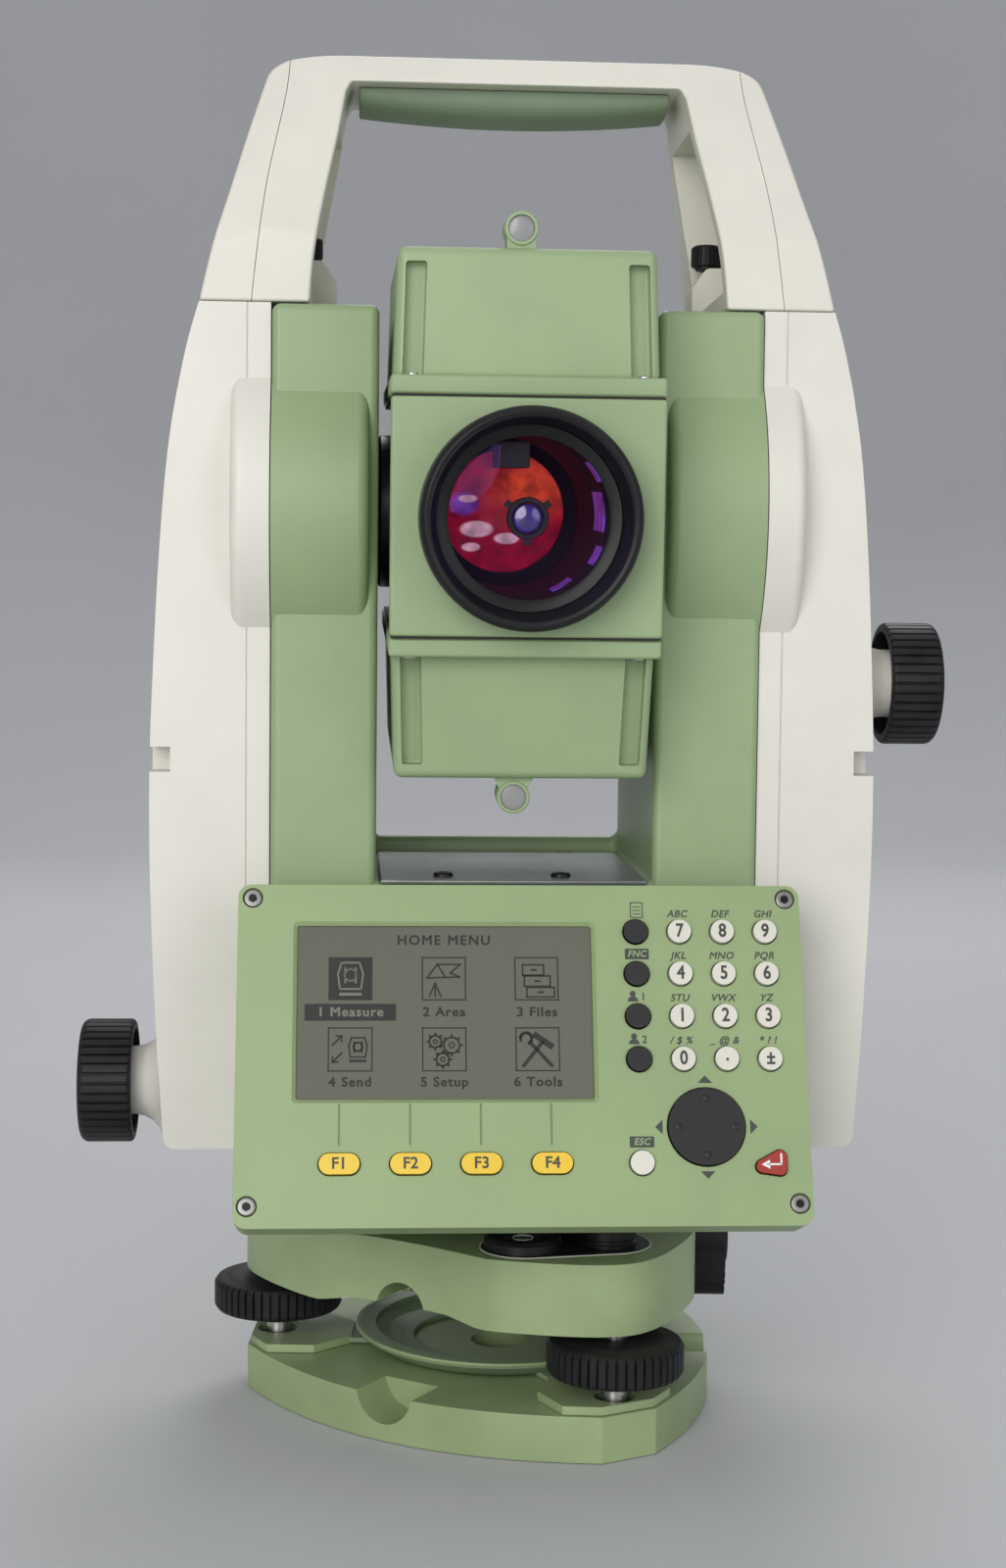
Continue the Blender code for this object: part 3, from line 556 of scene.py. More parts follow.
def knurled(profile, teeth, depth, groove_share=0.3, rounding=0.14, steps=160):
    """A grooved grip along +Z: a toothed bar cut to a turned profile."""
    radius = max(point[0] for point in profile)
    heights = [point[1] for point in profile]
    outline = toothed_outline(radius + 0.02, teeth, depth, groove_share)
    bar = softened(slab(outline, min(heights) - 1, max(heights) + 1), rounding, 1, 20)
    return common(bar, turned(profile, steps=steps))


def placed(origin, direction=UP):
    return Matrix.Translation(Vector(origin)) @ turn_to(direction)


def socket_screw(centre, direction, radius, height=1.2):
    """A round screw head with a rounded edge and a six-sided socket."""
    centre, direction = Vector(centre), Vector(direction).normalized()
    head = turned(rounded_disc(radius, -0.4, height, radius * 0.25), centre, direction, 40)
    socket = cylinder(radius * 0.5, centre + direction * height * 0.3, centre + direction * (height + 1), 6)
    return combined(head, socket)


# ---- Tribrach ----

def tribrach_piece(name, mesh, finish_name, replaces=()):
    piece(name, mesh, finish_name, "tribrach", replaces)


def at_screws(radius, low, high, sides=40):
    """An upright cylinder at each footscrew."""
    ends = [[around(SCREW_RADIUS, angle, z) for z in (low, high)] for angle in SCREW_ANGLES.values()]
    return [cylinder(radius, *pair, sides) for pair in ends]


def at_sides(radius, near, far, height):
    """A cylinder that points outward at this height, in the middle of each side."""
    return [cylinder(radius, around(near, a, height), around(far, a, height), 56) for a in SIDE_ANGLES]


def lobed_outline(corner_radius, corner_half_width, middle_radius, steps=16):
    """A triangle with flat corners and bowed sides, one corner at each footscrew."""
    outline = []
    angles = sorted(SCREW_ANGLES.values())
    for angle, after in zip(angles, angles[1:] + [angles[0] + 360]):
        flat = around(corner_radius, angle)
        beside = around(corner_half_width, angle + 90)
        start = flat + beside
        end = around(corner_radius, after) - around(corner_half_width, after + 90)
        bow = around(middle_radius, (angle + after) / 2) - (start + end) / 2
        outline.append((flat - beside).to_2d())
        for step in range(steps):
            t = step / steps
            outline.append((start.lerp(end, t) + bow * 4 * t * (1 - t)).to_2d())
    return [tuple(point) for point in outline]


def tribrach_outline(steps=6):
    """Broad lobes with shoulders, one over each footscrew, and a waist between them."""
    edge = []
    for angle in sorted(SCREW_ANGLES.values()):
        edge += [tuple(around(radius, angle + offset).to_2d()) for offset, radius in LOBE_EDGE]
    ring = smooth_line(edge[-2:] + edge + edge[:2], steps)
    return ring[2 * steps:-2 * steps][:len(edge) * steps]


def capsule(first, second, radius, steps=16):
    """The outline round two points: two half circles and the straight lines between them."""
    heading = math.degrees(math.atan2(second[1] - first[1], second[0] - first[0]))
    near = arc(first, radius, heading + 90, heading + 270, steps)
    return arc(second, radius, heading - 90, heading + 90, steps) + near


def outward_plane(angle):
    """Across the tribrach's side, up, and outward at this angle."""
    return Matrix((around(1, angle + 90), UP, around(1, angle))).transposed().to_4x4()


def make_base_plate():
    plate = softened(slab(lobed_outline(69.5, 8, 58), 0, BASE_TOP), 1.4, 3, 28)
    cutters = [cylinder(7.9, (0, 0, -1), (0, 0, BASE_TOP + 1), 48)] + at_screws(4.9, 5.2, 20)
    plate = combined(plate, joined(cutters))
    plate = combined(plate, joined(at_sides(8.5, 44, 70, BASE_TOP + 1)))
    piece("base_plate_casting", plate, "tribrach_green", "base", ["base_plate"])


def make_keeper_plates():
    """An eight-sided plate over each ball foot, clipped to the base plate's outline."""
    limit = slab(lobed_outline(68.6, 7.6, 57.2), 0, 30)
    for (side, angle), bore in zip(SCREW_ANGLES.items(), at_screws(5.6, 0, 30)):
        centre = around(SCREW_RADIUS - 5, angle)
        octagon = [tuple((centre + around(17.5, angle + 22.5 + 45 * i)).to_2d()) for i in range(8)]
        plate = common(slab(octagon, BASE_TOP + 0.2, 14.4), limit.copy())
        plate = softened(combined(plate, bore), 0.35, 2, 35)
        piece(f"keeper_plate_{side}", plate, "tribrach_green", "base")


def make_spring_dish():
    dish = [(34.5, 17.2), (39.6, 17.4), (40, 17.1), (39.8, 16.3), (37, 14.2), (34, 12.6), (24, 12.4)]
    dish += [(24, 13.6), (32, 13.8), (34.5, 15.6), (34.5, 17.2)]
    shells = [turned(dish, steps=128)]
    for angle, hole in zip(SCREW_ANGLES.values(), at_screws(5, 0, 30)):
        arm = moved(box((27, -7.2, 12.6), (66, 7.2, 13.9)), Matrix.Rotation(math.radians(angle), 4, "Z"))
        shells.append(combined(arm, hole))
    # The dish is painted darker for the shade under the tribrach; its rim keeps the plain green as its lit
    # edge
    piece("spring_dish", joined(shells), "dish_green_painted_shade", "base", ["spring_plate"])
    rim = turned([(38.6, 17.5), (39.8, 17.6), (40.1, 17.1), (39.6, 16.6), (38.6, 17.5)], steps=128)
    piece("spring_dish_rim", rim, "tribrach_green", "base")


def ball_foot(top, place):
    neck = [(0, top), (SPINDLE_RADIUS, top), (SPINDLE_RADIUS, 13)]
    ball = [(4, 11.4), (4.3, 10), (4, 8.6), (3.2, 7.2), (2, 6.4), (0, 6.2)]
    return turned(neck + ball, place, steps=48)


def threaded_spindle(place):
    profile = [(0, 46.8), (2.8, 46.8), (SPINDLE_RADIUS, 46.3)]
    for turn in range(12):
        level = 45.6 - turn * 1.3
        profile += [(SPINDLE_RADIUS, level), (2.9, level - 0.35), (2.9, level - 0.75)]
        profile.append((SPINDLE_RADIUS, level - 1.1))
    return turned(profile + [(SPINDLE_RADIUS, 29.5), (0, 29.5)], place, steps=48)


def make_footscrew(side):
    """A ribbed knob with a smooth crown on its threaded spindle."""
    place = around(SCREW_RADIUS, SCREW_ANGLES[side])
    body = f"footscrew_{side}"
    grip = [(0, 29.6), (15.2, 29.6), (16.9, 29.1), (17.7, 28), (17.7, 22), (17, 20.9), (15.4, 20.4)]
    mesh = moved(knurled(grip + [(0, 20.4)], 46, 1.1, steps=128), placed(place))
    piece(f"{body}_grip", mesh, "knob", body, [body])
    crown = [(0, 30), (11.5, 30), (13.2, 29.9), (14.6, 29.5), (14.6, 29), (0, 29)]
    skirt = [(0, 20.5), (13.6, 20.5), (12.4, 19.5), (8.4, 18.9), (7.9, 18), (0, 18)]
    mesh = joined([turned(crown, place), turned(skirt, place)])
    piece(f"{body}_crown", mesh, "knob", body)
    if side != "front":
        piece(f"{body}_foot", ball_foot(18.4, place), "steel", body)
    piece(f"{body}_spindle", threaded_spindle(place), "steel", body)


def make_front_ball():
    """The front screw's foot, which slides up and down under the tribrach and doesn't turn."""
    ball = ball_foot(17.6, around(SCREW_RADIUS, SCREW_ANGLES["front"]))
    piece("footscrew_front_foot", ball, "steel", "footscrew_front_ball", ["footscrew_front_ball"])


def make_tribrach_body():
    """The three-lobed body with an arch in each side and the bores for the spindles."""
    body = softened(slab(tribrach_outline(), LOBE_BOTTOM, LOBE_TOP), 2.4, 4, 40)
    cutters = [cylinder(15.4, (0, 0, 42), (0, 0, LOBE_TOP + 1), 64)] + at_screws(3.8, 30, 49.4, 32)
    body = combined(body, joined(cutters))
    foot = LOBE_BOTTOM + 0.1
    rise = [(-27, 31), (27, 31), (24, foot), (15, 34), (-15, 34), (-24, foot)]
    for angle, arch in zip(SIDE_ANGLES, at_sides(7.5, 30, 72, LOBE_BOTTOM)):
        body = combined(body, slab(rise, 34, 72, outward_plane(angle)))
        body = combined(body, arch)
    tribrach_piece("tribrach_casting", body, "tribrach_green", ["tribrach_body"])


def make_tribrach_top():
    """The black inlay with its pale line, the cap beside the level and the level itself."""
    inlay_line = capsule(LEVEL_CENTRE, CAP_CENTRE, 11.4)
    line = slab(inlay_line, LOBE_TOP - 0.3, LOBE_TOP + 0.12)
    tribrach_piece("level_inlay_line", line, "legend_white")
    inlay = slab(capsule(LEVEL_CENTRE, CAP_CENTRE, 11), LOBE_TOP - 0.3, LOBE_TOP + 0.25)
    tribrach_piece("level_inlay", softened(inlay, 0.1, 1), "black")
    cap = [(0, 65), (5.4, 65), (6.6, 64.6), (7.2, 63.6), (7.4, 62), (7.4, 53.2), (7, 52.8), (7, 52.2)]
    cap += [(7.4, 51.8), (7.4, 50.9), (0, 50.9)]
    tribrach_piece("tribrach_cap", turned(cap, CAP_CENTRE), "black")
    ring = [(7.4, 53.9), (8.2, 54.3), (9.4, 54.2), (10.1, 53.4), (10.2, 51.3), (7, 51.3), (7, 53)]
    level = turned(ring + ring[:1], LEVEL_CENTRE)
    tribrach_piece("circular_level_ring", level, "black", ["circular_level"])
    vial = turned([(0, 53.5), (4, 53.4), (7.1, 53), (7.1, 51.4), (0, 51.4)], LEVEL_CENTRE, steps=64)
    tribrach_piece("circular_level_vial", vial, "vial")
    mark = turned([(2.5, 53.56), (2.7, 53.56), (2.7, 53.4), (2.5, 53.4), (2.5, 53.56)], LEVEL_CENTRE)
    tribrach_piece("circular_level_mark", mark, "legend_white")
    bubble = turned([(0, 53.62), (1.2, 53.58), (1.8, 53.45), (1.8, 53.3), (0, 53.3)], LEVEL_CENTRE)
    tribrach_piece("circular_level_bubble", bubble, "bubble")


def make_flange():
    """The instrument's foot, with a groove round it and its plug below."""
    profile = [(0, 60.2), (33.8, 60.2), (35.2, 59.8), (36, 58.8), (36, 56.6), (35.3, 56.2), (35.3, 55.2)]
    profile += [(36, 54.8), (36, 51.3), (15, 51.3), (15, 43.8), (14.2, 43), (0, 43)]
    tribrach_piece("instrument_foot", turned(profile), "black", ["instrument_flange"])


def make_clamp_lever():
    plane = outward_plane(CLAMP_ANGLE)
    hub = turned(rounded_disc(8, 52.5, 63, 1.4), direction=around(1, CLAMP_ANGLE), steps=64)
    hub.transform(Matrix.Translation((0, 0, 43)))
    outline = arc((0, 43), 7.6, 0, 180, 14) + [(-6.8, 31)] + arc((0, 31), 5, 180, 360, 10) + [(6.8, 31)]
    lever = union(hub, softened(slab(outline, 54.2, 62.4, plane), 1.3, 4, 50))
    grooves = []
    for i in range(3):
        height = 34 - i * 2.4
        groove = [(-8, height), (8, height), (8, height + 0.7), (-8, height + 0.7)]
        grooves.append(slab(groove, 61.9, 64, plane))
    lever = combined(lever, joined(grooves))
    piece("clamp_lever", lever, "knob", "clamp", ["clamp_knob"])


make_base_plate()
make_keeper_plates()
make_spring_dish()
for screw_side in SCREW_ANGLES:
    make_footscrew(screw_side)
make_front_ball()
make_tribrach_body()
make_tribrach_top()
make_flange()
make_clamp_lever()


# ---- Alidade ----

def on_axis(x):
    return Vector((x, 0, AXIS_HEIGHT))


def axis_turned(profile, side, steps=96):
    """Turned about the tilting axis, with heights measured outward on one side (-1 or 1)."""
    return turned(profile, on_axis(0), (side, 0, 0), steps)


def alidade_piece(name, mesh, finish_name, replaces=(), sharp_angle=32):
    piece(name, mesh, finish_name, "alidade", replaces, sharp_angle)


def make_casting():
    """Both standards, the platform between them, the bearing bosses and the turning base."""
    near = (-STANDARD_OUTER, -STANDARD_HALF_DEPTH, ALIDADE_BOTTOM)
    block = box(near, (STANDARD_OUTER, STANDARD_HALF_DEPTH, STANDARD_TOP))
    for front, back, bottom in ((-60, 37, PLATFORM_TOP), (30, 60, 150)):
        block = combined(block, box((-STANDARD_INNER, front, bottom), (STANDARD_INNER, back, 300)))
    block = softened(block, 2.6, 4, 40)
    drum = [(0, 80), (40, 80), (40, 66.6), (39.4, 66), (39.4, 65.2), (40, 64.6), (40, 61.8), (39, 60.6)]
    block = union(block, turned(drum + [(0, 60.6)], steps=128))
    boss = [(0, STANDARD_OUTER), (BULGE_RADIUS, STANDARD_OUTER)]
    boss += arc((BULGE_RADIUS - 3, 41.2), 3, 0, -90, 8) + [(0, 38.2)]
    for side in (-1, 1):
        block = union(block, axis_turned(boss, side, 128))
        block = combined(block, cylinder(18, on_axis(side * 30), on_axis(side * 57), 96))
    alidade_piece("alidade_casting", block, "green", ["alidade_frame"], 30)


def make_platform():
    """The metal plate between the standards, with its two screws."""
    top = PLATFORM_TOP + 1.1
    plate = softened(box((-34.5, -40.5, PLATFORM_TOP), (34.5, 35.5, top)), 0.3, 2)
    alidade_piece("platform_plate", plate, "platform")
    for i, x in enumerate((-18, 13)):
        screw = socket_screw((x, -30, top), UP, 2.6, 1)
        alidade_piece(f"platform_screw_{i + 1}", screw, "black")


def make_back_details():
    """A plain service cover with four screws on the back of the casting's base."""
    face = STANDARD_HALF_DEPTH + 1.2
    outline = rounded_outline((0, 106), 44, 24, 5)
    cover = softened(slab(outline, face - 1.7, face, BACK_VIEW), 0.6, 3, 50)
    alidade_piece("service_cover", cover, "green")
    for i, (x, z) in enumerate(((-39, 87), (39, 87), (-39, 125), (39, 125))):
        screw = socket_screw((x, face, z), BACKWARD, 2.3, 0.7)
        alidade_piece(f"service_cover_screw_{i + 1}", screw, "steel")


def cover_outside():
    """A cover's outer edge as seen from the front, from the bottom up."""
    points = [(90.5, COVER_BOTTOM + 3.2), (92.3, 106), (93.8, 144), (94, 172), (93.3, 195), (91.5, 230)]
    return smooth_line(points + [(89, 258), (85, 280), (81.5, 292.7)]) + [(79, 301)]


def cover_shell(side):
    """A cover with soft outer edges and a sharp seam, before its hub and openings."""
    corner = arc((87.3, COVER_BOTTOM + 3.2), 3.2, -90, -10, 5)
    outline = mirrored_outline(side, [(50, 301), (50, COVER_BOTTOM)] + corner + cover_outside())
    shell = softened(slab(outline, -COVER_HALF_DEPTH, COVER_HALF_DEPTH, FRONT_VIEW), 6, 6, 62)
    seam = STANDARD_OUTER + 0.3
    shell = common(shell, side_box(side, seam, 110, (-60, 60), (60, COVER_TOP)))
    edges = (-COVER_HALF_DEPTH, COVER_HALF_DEPTH)
    grooves = [side_box(side, 69, 69.45, (y - 0.45, 60), (y + 0.45, 310)) for y in edges]
    shell = combined(shell, joined(grooves))
    boss = [(0, 73.3)] + arc((BULGE_RADIUS - 3, 70.3), 3, 90, 0, 8) + [(BULGE_RADIUS, seam), (0, seam)]
    return union(shell, axis_turned(boss, side, 128))


def make_cover(name, side, drive_height):
    """A side cover with the flared hub of its drive knob and the notch at its front edge."""
    flare = [(0, HUB_END), (8.6, HUB_END), (9, HUB_END - 0.4), (9, 98.6), (9.5, 96.4), (10.6, 94.2)]
    flare += [(12.6, 92.4), (15.5, 90.8), (15.5, 84), (0, 84)]
    shell = union(cover_shell(side), turned(flare, (0, KNOB_DEPTH, drive_height), (side, 0, 0), 96))
    bore = [(side * x, KNOB_DEPTH, drive_height) for x in (85.4, 105)]
    notch = side_box(side, 88.7, 99, (-42, 173.2), (-29, 179.6))
    shell = combined(shell, joined([cylinder(5.5, *bore, 48), notch]))
    if side > 0:
        low, high = corners("battery_door")
        spare = Vector((0.3, 0.3, 0.3))
        shell = combined(shell, box(low - spare, (110, *(high + spare).yz)))
        shell = combined(shell, box((70, 12, 90), (100, 30, 120)))
    alidade_piece(f"{name}_shell", shell, "white", [name], 30)


def make_battery_door():
    low, high = corners("battery_door")
    grips = []
    for i in range(5):
        z = low.z + 7 + i * 2.6
        grips.append(box((high.x - 0.6, low.y + 6, z), (high.x + 1, high.y - 6, z + 1)))
    door = combined(softened(box(low, high), 0.9, 3), joined(grips))
    piece("battery_door_panel", door, "white", "battery_door", ["battery_door"])


def make_battery_latch():
    centre = middle("battery_latch")
    origin, outward = (0, centre.y, centre.z), (1, 0, 0)
    shank = turned([(0, 103.2), (3, 103.2), (3.4, 102.6), (3.4, 94.1), (0, 94.1)], origin, outward, 48)
    wing = box((94.6, centre.y - 1.5, centre.z - 4.2), (106.2, centre.y + 1.5, centre.z + 4.2))
    collar = turned(rounded_disc(4.4, 94.1, 96.2, 0.6), origin, outward, 64)
    latch = union(union(shank, softened(wing, 1.2, 4)), collar)
    piece("battery_latch_knob", latch, "knob", "battery_latch", ["battery_latch"])


def make_bearings():
    ring = [(12.4, 49), (12.9, 49.5), (17.2, 49.5), (17.7, 49), (17.7, 36.7), (17.2, 36.2), (12.9, 36.2)]
    ring += [(12.4, 36.7), (12.4, 49)]
    for name, side in (("left_bearing", -1), ("right_bearing", 1)):
        alidade_piece(f"{name}_ring", axis_turned(ring, side), "steel", [name])


def drive_knob_profile(length, radius):
    """From the outer face's centre, round the rim and into the hollow back."""
    face = [(0, length - 0.7), (10.8, length - 0.7), (11.6, length)]
    rim = arc((radius - 2.2, length - 2.2), 2.2, 90, 0, 6) + arc((radius - 1.2, 1.2), 1.2, 0, -90, 4)
    return face + rim + [(13.8, 0), (13.8, 4.4), (13.2, 5), (0, 5)]


def make_drive_knob(name, side, body):
    length = KNOB_LENGTH
    centre = middle(name)
    origin, outward = Vector((side * KNOB_INNER, centre.y, centre.z)), (side, 0, 0)
    profile = drive_knob_profile(length, KNOB_RADIUS)
    knob = moved(knurled(profile, 40, 0.95, 0.34, 0.16), placed(origin, outward))
    piece(f"{name}_grip", knob, "knob", body, [name])
    cap = [(0, length), (9.8, length - 0.1), (10.6, length - 0.5), (10.6, length - 1.2), (0, length - 1.2)]
    piece(f"{name}_cap", turned(cap, origin, outward), "knob", body)
    shaft = [(0, 5.5), (5, 5.5), (5, -11.5), (4.5, -12), (0, -12)]
    piece(f"{name}_shaft", turned(shaft, origin, outward, 48), "black", body)


make_casting()
make_platform()
make_back_details()
make_cover("left_cover", -1, middle("horizontal_drive_knob").z)
make_cover("right_cover", 1, middle("vertical_drive_knob").z)
make_battery_door()
make_battery_latch()
make_bearings()
make_drive_knob("horizontal_drive_knob", -1, "horizontal_drive")
make_drive_knob("vertical_drive_knob", 1, "vertical_drive")


# ---- Telescope, drawn level and then tipped with the line of sight ----

def telescope_piece(name, mesh, finish_name, replaces=(), body="telescope"):
    piece(name, moved(mesh, TIPPED), finish_name, body, replaces)


def axis_z(height):
    return AXIS_HEIGHT + height


def along(y):
    return Vector((0, y, AXIS_HEIGHT))


def forward_turned(profile, steps=128):
    """Turned about the line of sight, with heights measured forward from the tilting axis."""
    return turned(profile, on_axis(0), FORWARD, steps)


def backward_turned(profile, steps=96):
    return turned(profile, on_axis(0), BACKWARD, steps)


def spanning(way, near, far, across, front, back):
    """A box above (1) or below (-1) the line of sight, between two heights from it."""
    low, high = sorted((axis_z(way * near), axis_z(way * far)))
    left, right = across
    return box((left, front, low), (right, back, high))


def make_telescope_body():
    half = BODY_HALF_HEIGHT
    body = softened(box((-30, -70, axis_z(-half)), (30, 52, axis_z(half))), 1.6, 3)
    front = softened(box((-33.3, -76, axis_z(-half)), (33.3, -68, axis_z(half))), 0.8, 3)
    body = union(union(body, front), cylinder(12.5, along(48), along(79), 96))
    body = combined(body, cylinder(21.5, along(-78), along(30), 128))
    body = combined(body, cylinder(8, along(20), along(90), 64))
    telescope_piece("telescope_casting", body, "green", ["telescope_body"])
    for way, name in ((1, "upper"), (-1, "lower")):
        line = spanning(way, half - 0.2, LEDGE_NEAR, (-32.9, 32.9), -75.2, 50.5)
        telescope_piece(f"telescope_seam_{name}", line, "seam")


def tapered(mesh, near, far, side_shrink, front_shrink):
    """Moves a shell's sides and front in as it leaves the telescope's body."""
    for vertex in mesh.vertices:
        t = min(max((abs(vertex.co.z - AXIS_HEIGHT) - near) / (far - near), 0), 1)
        vertex.co.x -= math.copysign(side_shrink * t * min(abs(vertex.co.x) / 25, 1), vertex.co.x)
        vertex.co.y -= math.copysign(front_shrink * t * min(abs(vertex.co.y) / 45, 1), vertex.co.y)
    return mesh


def make_shell(name, way):
    """A housing with a wide ledge, and a sunk flute below the cap at each front corner."""
    ledge = softened(spanning(way, LEDGE_NEAR, LEDGE_FAR, (-33.5, 33.5), -74, 51), 0.9, 3)
    shell = softened(spanning(way, LEDGE_FAR - 1, SHELL_TOP, (-32.6, 32.6), -67, 49), 2.2, 4)
    flutes = []
    for across in ((-30.6, -25.4), (25.4, 30.6)):
        flutes.append(softened(spanning(way, 30, 61.6, across, -70, -63.4), 0.8, 3))
    shell = combined(shell, joined(flutes))
    shell = union(tapered(shell, LEDGE_FAR - 1, SHELL_TOP, 0.9, 4), ledge)
    telescope_piece(f"{name}_housing", shell, "green", [name])
    for side, x in (("left", -28.2), ("right", 28.2)):
        screw = socket_screw((x, -69.4, axis_z(way * LEDGE_FAR)), (0, 0, way), 1.5, 0.6)
        telescope_piece(f"{name}_screw_{side}", screw, "steel")


def make_sight(name, way):
    """A short sighting ring with a grey window at each end, on a stalk at the housing's front edge."""
    centre = Vector((SIGHT_ACROSS, -SIGHT_FORWARD, axis_z(way * SIGHT_HEIGHT)))
    profile = [(0, 5), (3.9, 5), (4.2, 4.7), (4.2, -4.7), (3.9, -5), (0, -5)]
    foot = axis_z(way * (SHELL_TOP - 0.1))
    spread = 0 if way > 0 else 1.6
    neck = centre.z - way * 2
    outline = [(-5 - spread, foot), (2 + spread, foot), (2, neck), (2, centre.z), (-5, centre.z), (-5, neck)]
    stalk = slab(outline, SIGHT_FORWARD - 4.5, SIGHT_FORWARD + 4.5, FRONT_VIEW)
    ring = union(turned(profile, centre, FORWARD, 64), stalk)
    ring = combined(ring, cylinder(SIGHT_BORE, centre + 9 * Vector(FORWARD), centre + 9 * Vector(BACKWARD)))
    telescope_piece(f"{name}_tube", ring, "green", [name])
    profile = [(0, 0.5), (2.4, 0.4), (SIGHT_BORE - 0.02, 0.2), (SIGHT_BORE - 0.02, -0.4), (0, -0.4)]
    for end, ahead in (("front", 3.8), ("back", -3.8)):
        pane = turned(profile, centre + ahead * Vector(FORWARD), FORWARD, 48)
        telescope_piece(f"{name}_window_{end}", pane, "window")


def make_trunnions():
    profile = [(0, 56), (11.4, 56), (12, 55.4), (12, 35.4), (19.9, 35.4), (20.5, 34.8), (20.5, 30.3)]
    for name, side in (("left_trunnion", -1), ("right_trunnion", 1)):
        flange = axis_turned(profile + [(0, 30.3)], side)
        telescope_piece(f"{name}_flange", flange, "black", [name])
    circle = axis_turned([(12.3, 53.5), (17, 53.5), (17, 51.5), (12.3, 51.5), (12.3, 53.5)], -1)
    telescope_piece("vertical_circle_disc", circle, "vial", ["vertical_circle"])


def make_objective():
    """The black ring, the bevel and the retaining ring, with the coated glass between them."""
    ring = [(24.4, 89.6), (25.2, 90), (25.8, 89.8), (26.5, 89), (26.7, 88.2), (26.7, 84.6), (26.2, 84.2)]
    ring += [(26.2, 83.4), (26.7, 83), (26.7, 76.3), (22.6, 76.3), (22.6, 80), (23.3, 84), (24.4, 89.6)]
    ring = forward_turned(ring, 160)
    telescope_piece("objective_front_ring", ring, "black", ["objective_ring"])
    bevel = [(23.3, 84.4), (24.35, 89.4), (24.1, 89.5), (22.5, 84.2), (23.3, 84.4)]
    telescope_piece("objective_bevel", forward_turned(bevel, 160), "ring_grey")
    retainer = [(19.6, 78.6), (20.6, 79.2), (22.4, 79.6), (22.5, 78.2), (22.5, 77.4), (19.8, 77.4)]
    retainer = forward_turned(retainer + retainer[:1], 160)
    telescope_piece("objective_retainer", retainer, "ring_grey")
    glass = [(0, 78.3), (7, 78.15), (14, 77.7), (20.5, 76.9), (20.5, 76.3), (0, 76.3)]
    telescope_piece("objective_glass", forward_turned(glass), "lens", ["objective_lens"])


def make_barrel():
    """What shows through the glass: a black tube, the deep coated disc and a small ring."""
    tube = [(20.9, 76), (21.3, 76), (21.3, -28), (0, -28), (0, -27), (20.4, -27), (20.9, 76)]
    telescope_piece("telescope_barrel", forward_turned(tube), "baffle")
    disc = [(0, -18.4), (8, -18.7), (16.6, -19.8), (17, -20.4), (17, -22), (0, -22)]
    telescope_piece("telescope_inner_lens", forward_turned(disc), "mirror")
    holder = [(17.1, -18), (20.4, -16.4), (20.4, -22), (17.1, -22), (17.1, -18)]
    telescope_piece("telescope_inner_holder", forward_turned(holder), "baffle")
    small = [(3.6, 74.6), (4, 75), (4.9, 75), (5.1, 74.6), (5.1, 72.6), (3.6, 72.6), (3.6, 74.6)]
    shells = [forward_turned(small, 64)]
    for angle in (-35, -145, 90):
        tab = box((4.8, -74.6, axis_z(-0.9)), (6.6, -73.2, axis_z(0.9)))
        shells.append(moved(tab, turned_about(on_axis(0), angle, "Y")))
    telescope_piece("telescope_small_ring", joined(shells), "ring_grey")
    eye = [(0, 74.2), (2, 74.1), (3.55, 73.6), (3.55, 72.8), (0, 72.8)]
    telescope_piece("telescope_small_lens", forward_turned(eye, 64), "violet")
    prism = softened(spanning(1, 12, 18.5, (-7.5, 0.5), -72, -52), 0.5, 2)
    telescope_piece("telescope_prism_block", prism, "baffle")


def make_barrel_painted_reflection():
    """Thin curved strips on the barrel's right side that glow violet: a painted reflection of the coating's
    light.
    """
    centre = (0, AXIS_HEIGHT)
    strips = []
    spans = ((-34, -20, 66, 52), (-10, 18, 58, 34), (26, 42, 68, 58), (-66, -50, 52, 40))
    for start, end, near, far in spans:
        outline = arc(centre, 20.55, start, end, 10) + arc(centre, 20.35, end, start, 10)
        strips.append(slab(outline, far, near, FRONT_VIEW))
    telescope_piece("telescope_barrel_painted_reflection", joined(strips), "violet_painted_reflection")


def make_eyepiece():
    """The focusing ring's broad ribs and the eyepiece with its rubber cup."""
    profile = [(0, 76), (15.8, 76), (17.5, 74.6), (17.5, 55.4), (16.4, 54), (0, 54)]
    grip = combined(knurled(profile, 36, 0.7), cylinder(12.9, (0, 0, 50), (0, 0, 80), 96))
    grip.transform(placed(on_axis(0), BACKWARD))
    telescope_piece("focusing_ring_grip", grip, "knob", ["focusing_ring"], "focusing_ring")
    cup = [(5, 91), (7.4, 92.8), (8.6, 93), (9.4, 92.4), (10.6, 91.2), (11.4, 88.4), (11.6, 86), (12.2, 85.4)]
    cup += [(12.5, 84.8), (12.5, 80), (12, 79.4), (5, 79.4), (5, 91)]
    telescope_piece("eyepiece_cup", backward_turned(cup), "knob", ["eyepiece"], "eyepiece")
    lens = backward_turned([(0, 87.2), (3, 87), (4.98, 86.4), (4.98, 84), (0, 84)], 48)
    telescope_piece("eyepiece_lens", lens, "vial", (), "eyepiece")


make_telescope_body()
for make, kind in ((make_shell, "shell"), (make_sight, "sight")):
    make(f"upper_{kind}", 1)
    make(f"lower_{kind}", -1)
make_trunnions()
make_objective()
make_barrel()
make_barrel_painted_reflection()
make_eyepiece()


# ---- Handle ----

